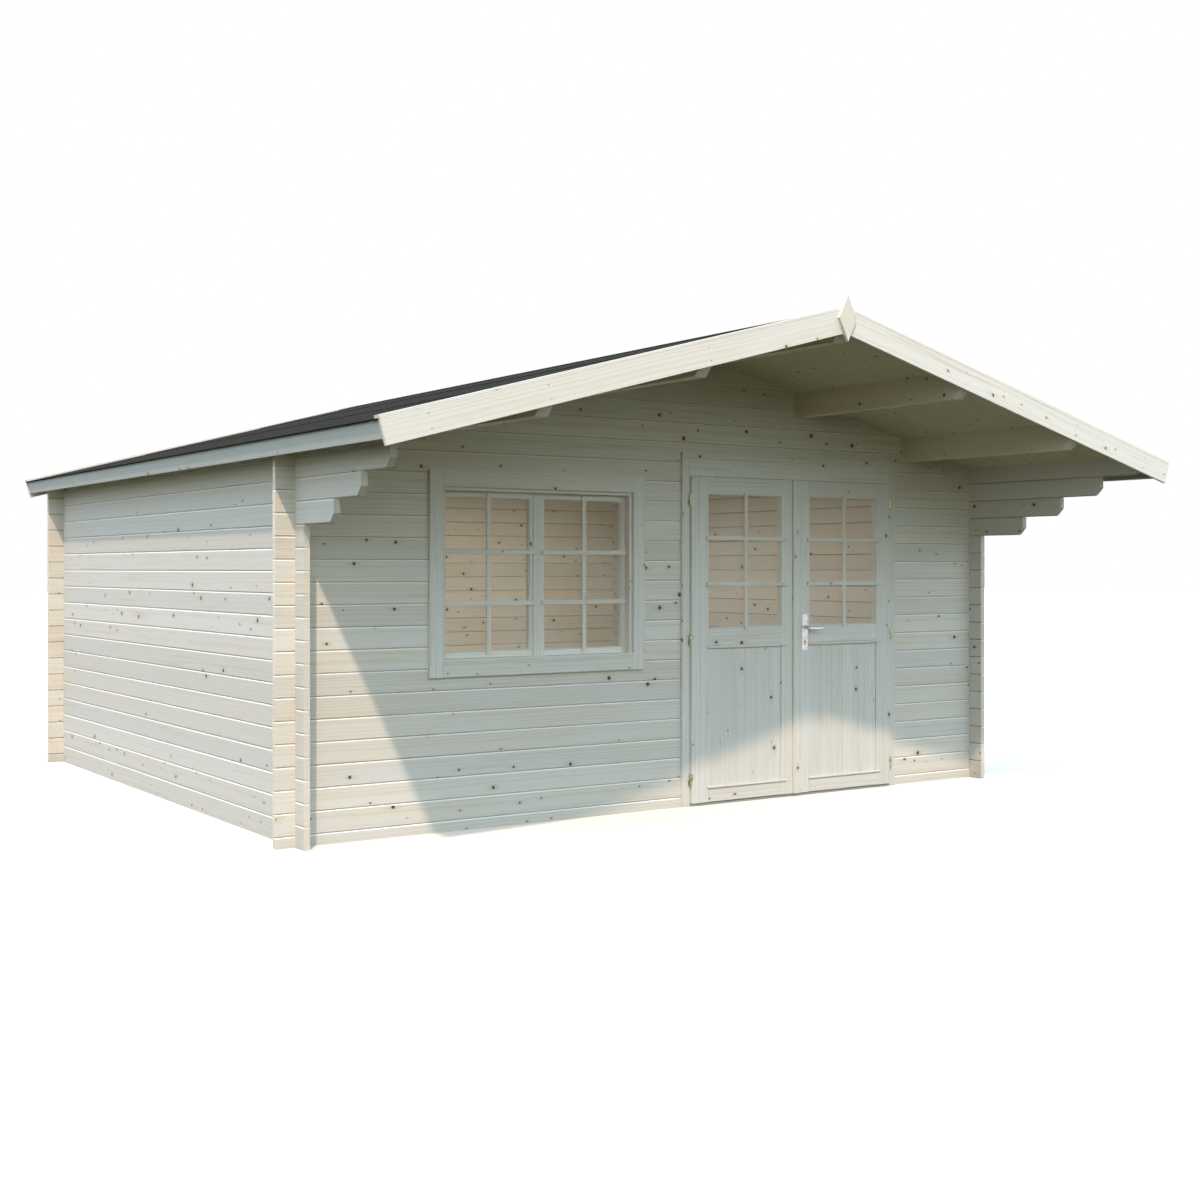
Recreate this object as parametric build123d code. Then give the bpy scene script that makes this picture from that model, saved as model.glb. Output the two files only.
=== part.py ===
"""Garden shed of interlocking logs with a deep front canopy. Millimetres, +Z up, front towards -Y."""

import os
from math import cos, radians, sin, tan

from build123d import *

# Fits
seat_gap = 0.3  # between two pieces that seat on each other
running_gap = 0.05  # radial, pins and spindles
swing_gap = 7  # round a door leaf
cut_overrun = 50  # how far a cutting block passes what it cuts

# Walls
wall_width = 4800  # outer face to outer face
wall_depth = 4200
log_thickness = 34
log_height = 114
log_bevel = 5.5  # V-joint on both faces of a log
top_log_minimum = 60  # least height of the bevelled log on top of a side wall
corner_projection = 104
corbel_count = 3
corbel_first_projection = 455
corbel_step = 298
end_chamfer = 46  # lower corner of corbels and purlins
neck_share = 0.25  # notch depth in a log, as a share of its height

# Roof
roof_pitch_deg = 14.83
wall_over_door = 121  # top of the leaves to the deck at the outer face of a side wall
front_overhang = 1364  # wall face to bargeboard face
rear_overhang = 200
deck_thickness = 19
eave_overhang = 175  # wall face to the end of the deck, level
felt_thickness = 3
felt_drip = 6
fascia_thickness = 18
fascia_height = 86
bargeboard_thickness = 18
bargeboard_height = 118
bargeboard_end_lap = 6  # past the fascia
cap_thickness = 14
cap_width = 45
cap_end_lap = 2  # past the bargeboard
purlin_width = 68
purlin_depth = 140
purlin_place_shares = (0.367, 0.74)  # out from the ridge, of half the wall width
diamond_height = 234
diamond_width = 114
diamond_thickness = 18
diamond_drop = 26  # centre of the diamond below the underside of the ridge

# Window
window_centre = -972.5  # from the ridge line
window_clear_width = 1181  # inside the frame
sash_height = 887
sash_bottom = 904
sash_outer_stile = 25
sash_meeting_stile = 46.5  # from the middle of the window to the glass
sash_joint_shift = 9  # the joint of the two sashes stands left of the middle
sash_joint = 6
sash_lap = 14  # cover lath behind the joint, each way
sash_lath_thickness = 10
sash_rail = 32
sash_thickness = 36
sash_recess = 58  # casing face to sash face
glass_thickness = 4
window_frame_thickness = 30
window_frame_depth = 78
casing_thickness = 18
window_casing_reveal = 18  # frame edge left bare at the sides and the head
window_side_casing = 79
window_head_casing = 90
window_sill_casing = 94

# Door
door_centre = 825  # from the ridge line
leaf_pair_width = 1578
leaf_bottom = 19
leaf_height = 1896
leaf_thickness = 45
leaf_proud = 15  # leaf face in front of the casing face
left_leaf_width = 759
outer_stile = 121
meeting_stile = 80
strip_width = 56
strip_thickness = 9
bottom_rail = 78
middle_rail = 105
panel_height = 833
top_rail = 102
panel_thickness = 18
panel_recess = 8
leaf_glass_recess = 18
jamb_thickness = 30
door_casing_width = 50
door_head_casing = 99
door_top_strip = 34
door_top_strip_proud = 5
stop_width = 14
stop_depth = 16
threshold_height = 13

# Hinges
hinge_heights_share = (0.072, 0.5, 0.928)  # up the leaf
knuckle_diameter = 14
knuckle_height = 32
pin_diameter = 8
hinge_proud = 4  # hinge axis behind the face of the leaf
hinge_plate_thickness = 2.5
hinge_plate_width = 16

# Lock
lock_plate_width = 46
lock_plate_height = 220
lock_plate_thickness = 3
lock_plate_drop = 138  # foot of the plate below the lever
lever_height = 1021
lever_neck_diameter = 16
lever_reach = 48
lever_length = 112
lever_grip_height = 20
lever_grip_depth = 11
spindle_diameter = 9
stile_bore = 14

# Floor
floor_thickness = 19

# Derived places
pitch = radians(roof_pitch_deg)
half_width = wall_width / 2
eave_height = leaf_bottom + leaf_height + wall_over_door
side_courses = int((eave_height - top_log_minimum) / log_height)
deck_length = (half_width + eave_overhang) / cos(pitch)
purlin_places = [share * half_width for share in purlin_place_shares]
front_reach = front_overhang + diamond_thickness + seat_gap
front_face = (front_reach - rear_overhang - wall_depth) / 2
rear_face = front_face + wall_depth
ridge_height = eave_height + half_width * tan(pitch)
roof_front = front_face - front_overhang + bargeboard_thickness + seat_gap
roof_rear = rear_face + rear_overhang - bargeboard_thickness - seat_gap
casing_face = front_face - casing_thickness
leaf_face = casing_face - leaf_proud
half_log = log_height / 2


def box(x0, x1, y0, y1, z0, z1):
    """A block between two corners."""
    return Pos(x0, y0, z0) * Box(x1 - x0, y1 - y0, z1 - z0, align=(Align.MIN, Align.MIN, Align.MIN))


def prism_along_y(points, y0, y1):
    """An outline in X and Z, carried from y0 to y1."""
    face = Plane.XZ * Polygon(*points, align=None)
    return Pos(0, y0, 0) * extrude(face, amount=y1 - y0, dir=(0, 1, 0))


def prism_along_x(points, x0, x1):
    """An outline in Y and Z, carried from x0 to x1."""
    face = Plane.YZ * Polygon(*points, align=None)
    return Pos(x0, 0, 0) * extrude(face, amount=x1 - x0, dir=(1, 0, 0))


def log_outline(start, z0, z1, lower_bevel, upper_bevel):
    """Section of a log whose first face is at start, with bevels for the V-joints."""
    end = start + log_thickness
    return [
        (start, z0 + lower_bevel),
        (start + lower_bevel, z0),
        (end - lower_bevel, z0),
        (end, z0 + lower_bevel),
        (end, z1 - upper_bevel),
        (end - upper_bevel, z1),
        (start + upper_bevel, z1),
        (start, z1 - upper_bevel),
    ]


def plain_outline(start, z0, z1, upper_bevel):
    """Section of a log with a flat underside."""
    end = start + log_thickness
    return [
        (start, z0),
        (end, z0),
        (end, z1 - upper_bevel),
        (end - upper_bevel, z1),
        (start + upper_bevel, z1),
        (start, z1 - upper_bevel),
    ]


def course_outline(start, z0, z1):
    """Section of the log between two course lines: the one on the ground is flat below."""
    top = z1 - seat_gap
    if z0 > 0:
        return log_outline(start, z0, top, log_bevel, log_bevel)
    return plain_outline(start, z0, top, log_bevel)


def slope_point(s, n):
    """X and Z of a point s down the right slope from the ridge and n above the deck's underside."""
    return (s * cos(pitch) + n * sin(pitch), ridge_height - s * sin(pitch) + n * cos(pitch))


def slope_height(x, n):
    """Height at x of the line n above the deck's underside."""
    return ridge_height + (n - abs(x) * sin(pitch)) / cos(pitch)


def slope_board(side, length, n0, n1, y0, y1):
    """A board from the ridge down one slope, square at its lower end and plumb at the ridge."""
    ridge = seat_gap / 2
    points = [
        (ridge, slope_height(ridge, n0)),
        slope_point(length, n0),
        slope_point(length, n1),
        (ridge, slope_height(ridge, n1)),
    ]
    return prism_along_y([(side * x, z) for x, z in points], y0, y1)


def under_roof():
    """All the space under the deck, for bevelling what stands below it."""
    reach = wall_width
    points = [
        (-reach, -cut_overrun),
        (reach, -cut_overrun),
        (reach, slope_height(reach, -seat_gap)),
        (0, slope_height(0, -seat_gap)),
        (-reach, slope_height(reach, -seat_gap)),
    ]
    return prism_along_y(points, roof_front - wall_depth, roof_rear + wall_depth)


def purlin_bottom(place):
    """Underside of the purlin whose centre is at place."""
    return slope_height(place, 0) - purlin_depth


def purlin(place, grow):
    """A purlin under the deck, bevelled on top and chamfered at both ends, or its slot in a gable."""
    left = place - purlin_width / 2 - grow
    right = place + purlin_width / 2 + grow
    bottom = purlin_bottom(place) - grow
    blank = box(left, right, roof_front, roof_rear, bottom, ridge_height + cut_overrun)
    if grow > 0:
        return blank
    shaped = blank & under_roof()
    return shaped - end_cuts(left, right, bottom, roof_front, roof_rear)


def end_cut(x0, x1, bottom, end, inward):
    """The wedge that chamfers the lower corner of a timber's end."""
    points = [
        (end - inward * cut_overrun, bottom - cut_overrun),
        (end + inward * (end_chamfer + cut_overrun), bottom - cut_overrun),
        (end - inward * cut_overrun, bottom + end_chamfer + cut_overrun),
    ]
    return prism_along_x(points, x0 - cut_overrun, x1 + cut_overrun)


def end_cuts(x0, x1, bottom, front, rear):
    return end_cut(x0, x1, bottom, front, 1) + end_cut(x0, x1, bottom, rear, -1)


def notch_blocks(along_x, centre_low, z0, z1):
    """The two blocks that notch a log, from above and below, where a crossing log passes."""
    low = centre_low - seat_gap
    high = centre_low + log_thickness + seat_gap
    depth = neck_share * log_height
    under = z0 + depth + seat_gap / 2
    over = z0 + log_height - depth - seat_gap / 2
    if z0 == 0 and z1 < log_height:
        over = z0 + depth - seat_gap / 2
        under = z0 - cut_overrun
    blocks = []
    for a, b in ((z0 - cut_overrun, under), (over, z1 + cut_overrun)):
        if b <= z0:
            continue
        if along_x:
            blocks.append(box(low, high, front_face - wall_depth, rear_face + wall_depth, a, b))
        else:
            blocks.append(box(-wall_width, wall_width, low, high, a, b))
    return blocks


def cross_course(index):
    """Lower and upper course lines of a front or rear log: the lowest is half a log."""
    if index == 0:
        return 0, half_log
    return (index - 1) * log_height + half_log, index * log_height + half_log


def cross_log(index, face):
    """A front or rear log from corner end to corner end, notched over both side walls."""
    z0, z1 = cross_course(index)
    end = half_width + corner_projection
    log = prism_along_x(course_outline(face, z0, z1), -end, end)
    for start in (-half_width, half_width - log_thickness):
        for block in notch_blocks(True, start, z0, z1):
            log -= block
    return log


def gable_log(index, face, cuts):
    """A log of a gable, cut to the slope, with slots where the purlins pass."""
    z0, z1 = cross_course(index)
    end = half_width - log_thickness - seat_gap
    log = prism_along_x(course_outline(face, z0, z1), -end, end) & under_roof()
    for cut in cuts:
        log -= cut
    return log


def gable(face, openings):
    """All the logs of one gable, cut for the purlins and for openings that reach it."""
    cuts = [purlin(place, seat_gap) for place in purlin_centres()] + openings
    logs = []
    index = side_courses + 1
    while cross_course(index)[0] < ridge_height - half_log:
        logs += gable_log(index, face, cuts).solids()
        index += 1
    return logs


def purlin_centres():
    return [0] + [side * place for place in purlin_places for side in (-1, 1)]


def side_log(index, start):
    """A side wall log: corbels reach forward near the top, and the last log carries the roof."""
    z0 = index * log_height
    z1 = z0 + log_height
    first_corbel = side_courses - corbel_count
    front = front_face - corner_projection
    rear = rear_face + corner_projection
    if index == side_courses:
        front = roof_front
        rear = roof_rear
        outline = [
            (start, z0 + log_bevel),
            (start + log_bevel, z0),
            (start + log_thickness - log_bevel, z0),
            (start + log_thickness, z0 + log_bevel),
            (start + log_thickness, ridge_height),
            (start, ridge_height),
        ]
        log = prism_along_y(outline, front, rear) & under_roof()
        log -= end_cuts(start, start + log_thickness, z0, front, rear)
    else:
        if index >= first_corbel:
            front = front_face - corbel_first_projection - (index - first_corbel) * corbel_step
        log = prism_along_y(course_outline(start, z0, z1), front, rear)
        if index >= first_corbel:
            log -= end_cut(start, start + log_thickness, z0, front, 1)
    for crossing in (front_face, rear_face - log_thickness):
        blocks = notch_blocks(False, crossing, z0, z1)
        if index == side_courses:
            blocks = blocks[:1]
        for block in blocks:
            log -= block
    return log


def side_wall(side):
    """One side wall, all its logs."""
    start = -half_width if side < 0 else half_width - log_thickness
    return [side_log(index, start) for index in range(side_courses + 1)]


# Openings in the front wall, as the timber is cut for the frames
window_left = window_centre - window_clear_width / 2
window_right = window_centre + window_clear_width / 2
window_low = sash_bottom - seat_gap
window_high = sash_bottom + sash_height + seat_gap
window_cut = (
    window_left - window_frame_thickness - seat_gap,
    window_right + window_frame_thickness + seat_gap,
    window_low - window_frame_thickness - seat_gap,
    window_high + window_frame_thickness + seat_gap,
)
leaf_left = door_centre - leaf_pair_width / 2
leaf_right = door_centre + leaf_pair_width / 2
leaf_top = leaf_bottom + leaf_height
jamb_left = leaf_left - swing_gap
jamb_right = leaf_right + swing_gap
head_low = leaf_top + swing_gap
door_cut = (
    jamb_left - jamb_thickness - seat_gap,
    jamb_right + jamb_thickness + seat_gap,
    -cut_overrun,
    head_low + jamb_thickness + seat_gap,
)


def wall_opening(cut):
    """The block that clears an opening through the front wall."""
    x0, x1, z0, z1 = cut
    return box(x0, x1, front_face - cut_overrun, front_face + log_thickness + cut_overrun, z0, z1)


def front_openings():
    return [wall_opening(window_cut), wall_opening(door_cut)]


def front_wall():
    """The front logs up to the gable, sorted by where they stand beside the openings."""
    groups = {
        "front_logs_below_window": [],
        "front_logs_left_of_window": [],
        "front_logs_between_openings": [],
        "front_logs_right_of_door": [],
        "front_logs_over_openings": [],
    }
    openings = front_openings()
    for index in range(side_courses + 1):
        log = cross_log(index, front_face)
        for opening in openings:
            log -= opening
        for piece in log.solids():
            bounds = piece.bounding_box()
            if bounds.min.X > door_centre:
                name = "front_logs_right_of_door"
            elif bounds.max.X < window_centre:
                name = "front_logs_left_of_window"
            elif bounds.min.X > window_centre and bounds.max.X < door_centre:
                name = "front_logs_between_openings"
            elif bounds.min.Z < window_low:
                name = "front_logs_below_window"
            else:
                name = "front_logs_over_openings"
            groups[name].append(piece)
    return groups


def rear_wall():
    """The rear logs up to the gable."""
    return [cross_log(index, rear_face - log_thickness) for index in range(side_courses + 1)]


# Roof pieces
felt_low = deck_thickness + seat_gap
felt_high = felt_low + felt_thickness
fascia_outer = deck_length + fascia_thickness + seat_gap
bargeboard_length = fascia_outer + bargeboard_end_lap


def roof_deck(side):
    return [slope_board(side, deck_length, 0, deck_thickness, roof_front, roof_rear)]


def roofing_felt(side):
    return [slope_board(side, fascia_outer + felt_drip, felt_low, felt_high, roof_front, roof_rear)]


def eave_fascia(side):
    """The board across the lower ends of the deck boards, square to the slope."""
    inner = deck_length + seat_gap
    points = [
        slope_point(inner, deck_thickness - fascia_height),
        slope_point(fascia_outer, deck_thickness - fascia_height),
        slope_point(fascia_outer, deck_thickness),
        slope_point(inner, deck_thickness),
    ]
    return [prism_along_y([(side * x, z) for x, z in points], roof_front, roof_rear)]


def bargeboards(y0):
    """The pair of boards along one gable edge."""
    low = felt_high - bargeboard_height
    y1 = y0 + bargeboard_thickness
    return [slope_board(side, bargeboard_length, low, felt_high, y0, y1) for side in (-1, 1)]


def verge_caps():
    """The four laths over the bargeboards and the edges of the felt."""
    low = felt_high + seat_gap
    length = bargeboard_length + cap_end_lap
    front = front_face - front_overhang
    rear = rear_face + rear_overhang - cap_width
    return [
        slope_board(side, length, low, low + cap_thickness, y0, y0 + cap_width)
        for y0 in (front, rear)
        for side in (-1, 1)
    ]


def diamond():
    """The ornament that covers the joint of the front bargeboards."""
    middle = ridge_height - diamond_drop
    points = [
        (0, middle - diamond_height / 2),
        (diamond_width / 2, middle),
        (0, middle + diamond_height / 2),
        (-diamond_width / 2, middle),
    ]
    front = front_face - front_reach
    return [prism_along_y(points, front, front + diamond_thickness)]


# Joinery helpers
def ring(x0, x1, z0, z1, side, head, sill, y0, y1):
    """Four boards round an opening, with the uprights running full height."""
    return [
        box(x0, x0 + side, y0, y1, z0, z1),
        box(x1 - side, x1, y0, y1, z0, z1),
        box(x0 + side + seat_gap, x1 - side - seat_gap, y0, y1, z1 - head, z1),
        box(x0 + side + seat_gap, x1 - side - seat_gap, y0, y1, z0, z0 + sill),
    ]


def window_frame():
    thick = window_frame_thickness
    return ring(
        window_left - thick, window_right + thick, window_low - thick, window_high + thick,
        thick, thick, thick, front_face, front_face + window_frame_depth,
    )


def window_casing():
    reveal = window_casing_reveal
    return ring(
        window_left - reveal - window_side_casing, window_right + reveal + window_side_casing,
        window_low - window_sill_casing, window_high + reveal + window_head_casing,
        window_side_casing, window_head_casing, window_sill_casing,
        casing_face, front_face - seat_gap,
    )


sash_face = casing_face + sash_recess
sash_back = sash_face + sash_thickness
sash_top = sash_bottom + sash_height
sash_meeting = window_centre - sash_joint_shift


def sash_edges(side):
    """Left and right edge of a sash, and of the glass in it."""
    if side < 0:
        return (
            window_left + seat_gap, sash_meeting - sash_joint / 2,
            window_left + sash_outer_stile, window_centre - sash_meeting_stile,
        )
    return (
        sash_meeting + sash_joint / 2, window_right - seat_gap,
        window_centre + sash_meeting_stile, window_right - sash_outer_stile,
    )


def sash(side):
    """Two stiles and two rails; the right one carries the lath behind the joint."""
    x0, x1, glass_left, glass_right = sash_edges(side)
    pieces = [
        box(x0, glass_left, sash_face, sash_back, sash_bottom, sash_top),
        box(glass_right, x1, sash_face, sash_back, sash_bottom, sash_top),
    ]
    for z0 in (sash_bottom, sash_top - sash_rail):
        pieces.append(box(
            glass_left + seat_gap, glass_right - seat_gap, sash_face, sash_back, z0, z0 + sash_rail
        ))
    if side > 0:
        lath_front = sash_back + seat_gap
        pieces.append(box(
            sash_meeting - sash_lap, sash_meeting + sash_lap, lath_front,
            lath_front + sash_lath_thickness, sash_bottom, sash_top,
        ))
    return pieces


def pane(x0, x1, z0, z1, middle):
    """A sheet of glass that stops just short of the wood round it."""
    return [box(
        x0 + seat_gap, x1 - seat_gap, middle - glass_thickness / 2, middle + glass_thickness / 2,
        z0 + seat_gap, z1 - seat_gap,
    )]


def sash_glass(side):
    glass_left, glass_right = sash_edges(side)[2:]
    return pane(
        glass_left, glass_right, sash_bottom + sash_rail, sash_top - sash_rail,
        sash_face + sash_thickness / 2,
    )


# Door frame
def door_lining():
    """Jambs and head in the wall, with the stops behind the leaves."""
    y0 = front_face
    y1 = front_face + log_thickness + casing_thickness
    head_high = head_low + jamb_thickness
    stop_front = leaf_face + leaf_thickness + swing_gap
    stop_back = stop_front + stop_depth
    left = box(jamb_left - jamb_thickness, jamb_left, y0, y1, 0, head_high)
    right = box(jamb_right, jamb_right + jamb_thickness, y0, y1, 0, head_high)
    head = box(jamb_left + seat_gap, jamb_right - seat_gap, y0, y1, head_low, head_high)
    stop_low = threshold_height + seat_gap
    stop_high = head_low - seat_gap
    left_stop = box(
        jamb_left + seat_gap, jamb_left + stop_width, stop_front, stop_back, stop_low, stop_high
    )
    right_stop = box(
        jamb_right - stop_width, jamb_right - seat_gap, stop_front, stop_back, stop_low, stop_high
    )
    head_stop = box(
        jamb_left + stop_width + seat_gap, jamb_right - stop_width - seat_gap, stop_front, stop_back,
        stop_high - stop_width, stop_high,
    )
    return [left, right, head, left_stop, right_stop, head_stop]


def door_casing():
    """Boards on the outside round the doorway, with a strip on top."""
    y1 = front_face - seat_gap
    board_top = head_low + door_head_casing
    outer_left = jamb_left - door_casing_width
    outer_right = jamb_right + door_casing_width
    return [
        box(outer_left, jamb_left, casing_face, y1, 0, board_top),
        box(jamb_right, outer_right, casing_face, y1, 0, board_top),
        box(jamb_left + seat_gap, jamb_right - seat_gap, casing_face, y1, head_low, board_top),
        box(
            outer_left, outer_right, casing_face - door_top_strip_proud, y1,
            board_top + seat_gap, board_top + door_top_strip,
        ),
    ]


def door_threshold():
    y1 = front_face + log_thickness + casing_thickness
    return [box(jamb_left + seat_gap, jamb_right - seat_gap, casing_face, y1, 0, threshold_height)]


# Door leaves
meeting_left = leaf_left + left_leaf_width
meeting_right = meeting_left + swing_gap
panel_low = leaf_bottom + bottom_rail
panel_high = panel_low + panel_height
pane_low = panel_high + middle_rail
pane_high = leaf_top - top_rail
leaf_back = leaf_face + leaf_thickness
lever_x = meeting_right + strip_width + meeting_stile / 2


def leaf_opening(side):
    """Left and right edge of the panel and the glass in a leaf."""
    if side < 0:
        return leaf_left + outer_stile, meeting_left - meeting_stile
    return meeting_right + strip_width + meeting_stile, leaf_right - outer_stile


def leaf_frame(side):
    """Two stiles and three rails of a leaf."""
    x0, x1 = leaf_opening(side)
    left, right = (leaf_left, meeting_left) if side < 0 else (meeting_right, leaf_right)
    pieces = [
        box(left, x0, leaf_face, leaf_back, leaf_bottom, leaf_top),
        box(x1, right, leaf_face, leaf_back, leaf_bottom, leaf_top),
    ]
    if side > 0:
        pieces[0] -= spindle_hole(stile_bore)
    for z0, z1 in ((leaf_bottom, panel_low), (panel_high, pane_low), (pane_high, leaf_top)):
        pieces.append(box(x0 + seat_gap, x1 - seat_gap, leaf_face, leaf_back, z0, z1))
    return pieces


def leaf_panel(side):
    x0, x1 = leaf_opening(side)
    y0 = leaf_face + panel_recess
    return [box(
        x0 + seat_gap, x1 - seat_gap, y0, y0 + panel_thickness,
        panel_low + seat_gap, panel_high - seat_gap,
    )]


def leaf_glass(side):
    x0, x1 = leaf_opening(side)
    return pane(x0, x1, pane_low, pane_high, leaf_face + leaf_glass_recess)


def meeting_strip():
    """The lath on the edge of the right leaf, beside the joint of the two leaves."""
    return [box(
        meeting_right, meeting_right + strip_width, leaf_face - strip_thickness, leaf_face - seat_gap,
        leaf_bottom, leaf_top,
    )]


# Hinges
hinge_y = leaf_face + hinge_proud
knuckle_radius = knuckle_diameter / 2


def hinge_x(side):
    """The knuckles stand beside the edge of the leaf."""
    return leaf_left - knuckle_radius - seat_gap if side < 0 else leaf_right + knuckle_radius + seat_gap


def upright(x, y, z0, z1, diameter):
    return Pos(x, y, z0) * Cylinder(diameter / 2, z1 - z0, align=(Align.CENTER, Align.CENTER, Align.MIN))


def hinge_pins(side):
    """Lower knuckle with its pin, and the arm that carries it on the casing."""
    x = hinge_x(side)
    pieces = []
    for share in hinge_heights_share:
        middle = leaf_bottom + share * leaf_height
        low = middle - knuckle_height
        piece = upright(x, hinge_y, low, middle - seat_gap / 2, knuckle_diameter)
        piece += upright(x, hinge_y, low, middle + knuckle_height, pin_diameter)
        arm_x = x + side * hinge_plate_width
        piece += box(
            min(x, arm_x), max(x, arm_x), casing_face - hinge_plate_thickness - seat_gap,
            casing_face - seat_gap, low, middle - seat_gap / 2,
        )
        piece += box(
            x - hinge_plate_thickness / 2, x + hinge_plate_thickness / 2, hinge_y,
            casing_face - seat_gap, low, middle - seat_gap / 2,
        )
        pieces.append(piece)
    return pieces


def hinge_knuckles(side):
    """Upper knuckle that turns on the pin, and its plate on the face of the leaf."""
    x = hinge_x(side)
    edge = leaf_left if side < 0 else leaf_right
    plate_end = edge - side * hinge_plate_width
    face = leaf_face - seat_gap
    pieces = []
    for share in hinge_heights_share:
        middle = leaf_bottom + share * leaf_height
        low = middle + seat_gap / 2
        high = middle + knuckle_height
        piece = upright(x, hinge_y, low, high, knuckle_diameter)
        piece += box(min(x, plate_end), max(x, plate_end), face - hinge_plate_thickness, face, low, high)
        piece -= upright(x, hinge_y, low - cut_overrun, high + cut_overrun, pin_diameter + 2 * running_gap)
        pieces.append(piece)
    return pieces


# Lock
def along_y(x, z, y0, y1, diameter):
    rod = Cylinder(diameter / 2, y1 - y0, align=(Align.CENTER, Align.CENTER, Align.MIN))
    return Pos(x, y0, z) * Rot(-90, 0, 0) * rod


def spindle_hole(diameter):
    return along_y(lever_x, lever_height, leaf_face - cut_overrun, leaf_back + cut_overrun, diameter)


def lock_plates():
    """A plate on each face of the right leaf, bored for the spindle."""
    x0 = lever_x - lock_plate_width / 2
    x1 = lever_x + lock_plate_width / 2
    z0 = lever_height - lock_plate_drop
    z1 = z0 + lock_plate_height
    bore = spindle_hole(spindle_diameter + 2 * running_gap)
    outside = leaf_face - seat_gap
    inside = leaf_back + seat_gap
    return [
        box(x0, x1, outside - lock_plate_thickness, outside, z0, z1) - bore,
        box(x0, x1, inside, inside + lock_plate_thickness, z0, z1) - bore,
    ]


def door_lever():
    """Both grips on one spindle through the leaf."""
    outside = leaf_face - lock_plate_thickness - 2 * seat_gap
    inside = leaf_back + lock_plate_thickness + 2 * seat_gap
    lever = along_y(lever_x, lever_height, outside - lever_reach, inside + lever_reach, spindle_diameter)
    for face, out in ((outside, -1), (inside, 1)):
        tip = face + out * lever_reach
        lever += along_y(lever_x, lever_height, min(face, tip), max(face, tip), lever_neck_diameter)
        grip_in = tip - out * lever_grip_depth
        lever += box(
            lever_x - lever_neck_diameter / 2, lever_x + lever_length, min(tip, grip_in),
            max(tip, grip_in), lever_height - lever_grip_height / 2, lever_height + lever_grip_height / 2,
        )
    return [lever]


def floor():
    """The boarded floor between the walls."""
    side = half_width - log_thickness - seat_gap
    y0 = front_face + log_thickness + casing_thickness + seat_gap
    y1 = rear_face - log_thickness - seat_gap
    return [box(-side, side, y0, y1, 0, floor_thickness)]


def save(name, pieces):
    """Write the solids of one node."""
    shape = pieces[0] if len(pieces) == 1 else Compound(children=list(pieces))
    export_step(shape, f"parts/{name}.step")


def main():
    os.makedirs("parts", exist_ok=True)
    nodes = dict(front_wall())
    nodes["front_gable"] = gable(front_face, front_openings())
    nodes["rear_wall"] = rear_wall()
    nodes["rear_gable"] = gable(rear_face - log_thickness, [])
    nodes["left_wall"] = side_wall(-1)
    nodes["right_wall"] = side_wall(1)
    nodes["ridge_purlin"] = [purlin(0, 0)]
    nodes["left_purlins"] = [purlin(-place, 0) for place in purlin_places]
    nodes["right_purlins"] = [purlin(place, 0) for place in purlin_places]
    nodes["front_bargeboards"] = bargeboards(front_face - front_overhang)
    nodes["rear_bargeboards"] = bargeboards(rear_face + rear_overhang - bargeboard_thickness)
    nodes["verge_caps"] = verge_caps()
    nodes["gable_diamond"] = diamond()
    nodes["window_frame"] = window_frame()
    nodes["window_casing"] = window_casing()
    nodes["door_lining"] = door_lining()
    nodes["door_casing"] = door_casing()
    nodes["door_threshold"] = door_threshold()
    nodes["floor"] = floor()
    nodes["meeting_strip"] = meeting_strip()
    nodes["lock_plates"] = lock_plates()
    nodes["door_lever"] = door_lever()
    for name, side in (("left", -1), ("right", 1)):
        nodes[f"{name}_roof_deck"] = roof_deck(side)
        nodes[f"{name}_roofing_felt"] = roofing_felt(side)
        nodes[f"{name}_eave_fascia"] = eave_fascia(side)
        nodes[f"{name}_sash"] = sash(side)
        nodes[f"{name}_sash_glass"] = sash_glass(side)
        nodes[f"{name}_door_frame"] = leaf_frame(side)
        nodes[f"{name}_door_panel"] = leaf_panel(side)
        nodes[f"{name}_door_glass"] = leaf_glass(side)
        nodes[f"{name}_hinge_pins"] = hinge_pins(side)
        nodes[f"{name}_hinge_knuckles"] = hinge_knuckles(side)
    for name, pieces in nodes.items():
        save(name, pieces)
    print(len(nodes), "nodes")


main()
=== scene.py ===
# %% [markdown]
# A garden shed of interlocking logs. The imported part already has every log, board and pane in
# its place, so this lesson only dresses it: finishes for the timber, felt, glass and metal, and
# the small things that a maker fixes on last, such as glazing bars, beads, hinges and nails.

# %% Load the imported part
from math import copysign, cos, dist, radians, sin, tan, tau

import bmesh
import bpy
from mathutils import Matrix, Vector


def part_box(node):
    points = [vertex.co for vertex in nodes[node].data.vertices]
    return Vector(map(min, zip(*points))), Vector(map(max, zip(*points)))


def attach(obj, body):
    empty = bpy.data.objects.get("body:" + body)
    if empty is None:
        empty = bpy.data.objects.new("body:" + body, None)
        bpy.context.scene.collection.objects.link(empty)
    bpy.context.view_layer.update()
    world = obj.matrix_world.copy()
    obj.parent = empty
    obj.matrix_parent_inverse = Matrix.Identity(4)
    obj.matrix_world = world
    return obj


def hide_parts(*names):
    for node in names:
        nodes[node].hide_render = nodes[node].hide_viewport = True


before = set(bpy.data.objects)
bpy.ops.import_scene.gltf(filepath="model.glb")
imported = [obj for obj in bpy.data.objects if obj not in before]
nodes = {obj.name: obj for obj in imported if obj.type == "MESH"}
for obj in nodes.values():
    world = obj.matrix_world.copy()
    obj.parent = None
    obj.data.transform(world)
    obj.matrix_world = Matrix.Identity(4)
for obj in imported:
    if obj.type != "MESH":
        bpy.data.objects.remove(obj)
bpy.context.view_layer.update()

# %% [markdown]
# The camera stands where the photograph was taken: level, about head height, in front of the left
# corner. Its place and lens were fitted to the corners of the logs, so no piece has to be nudged.

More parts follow.
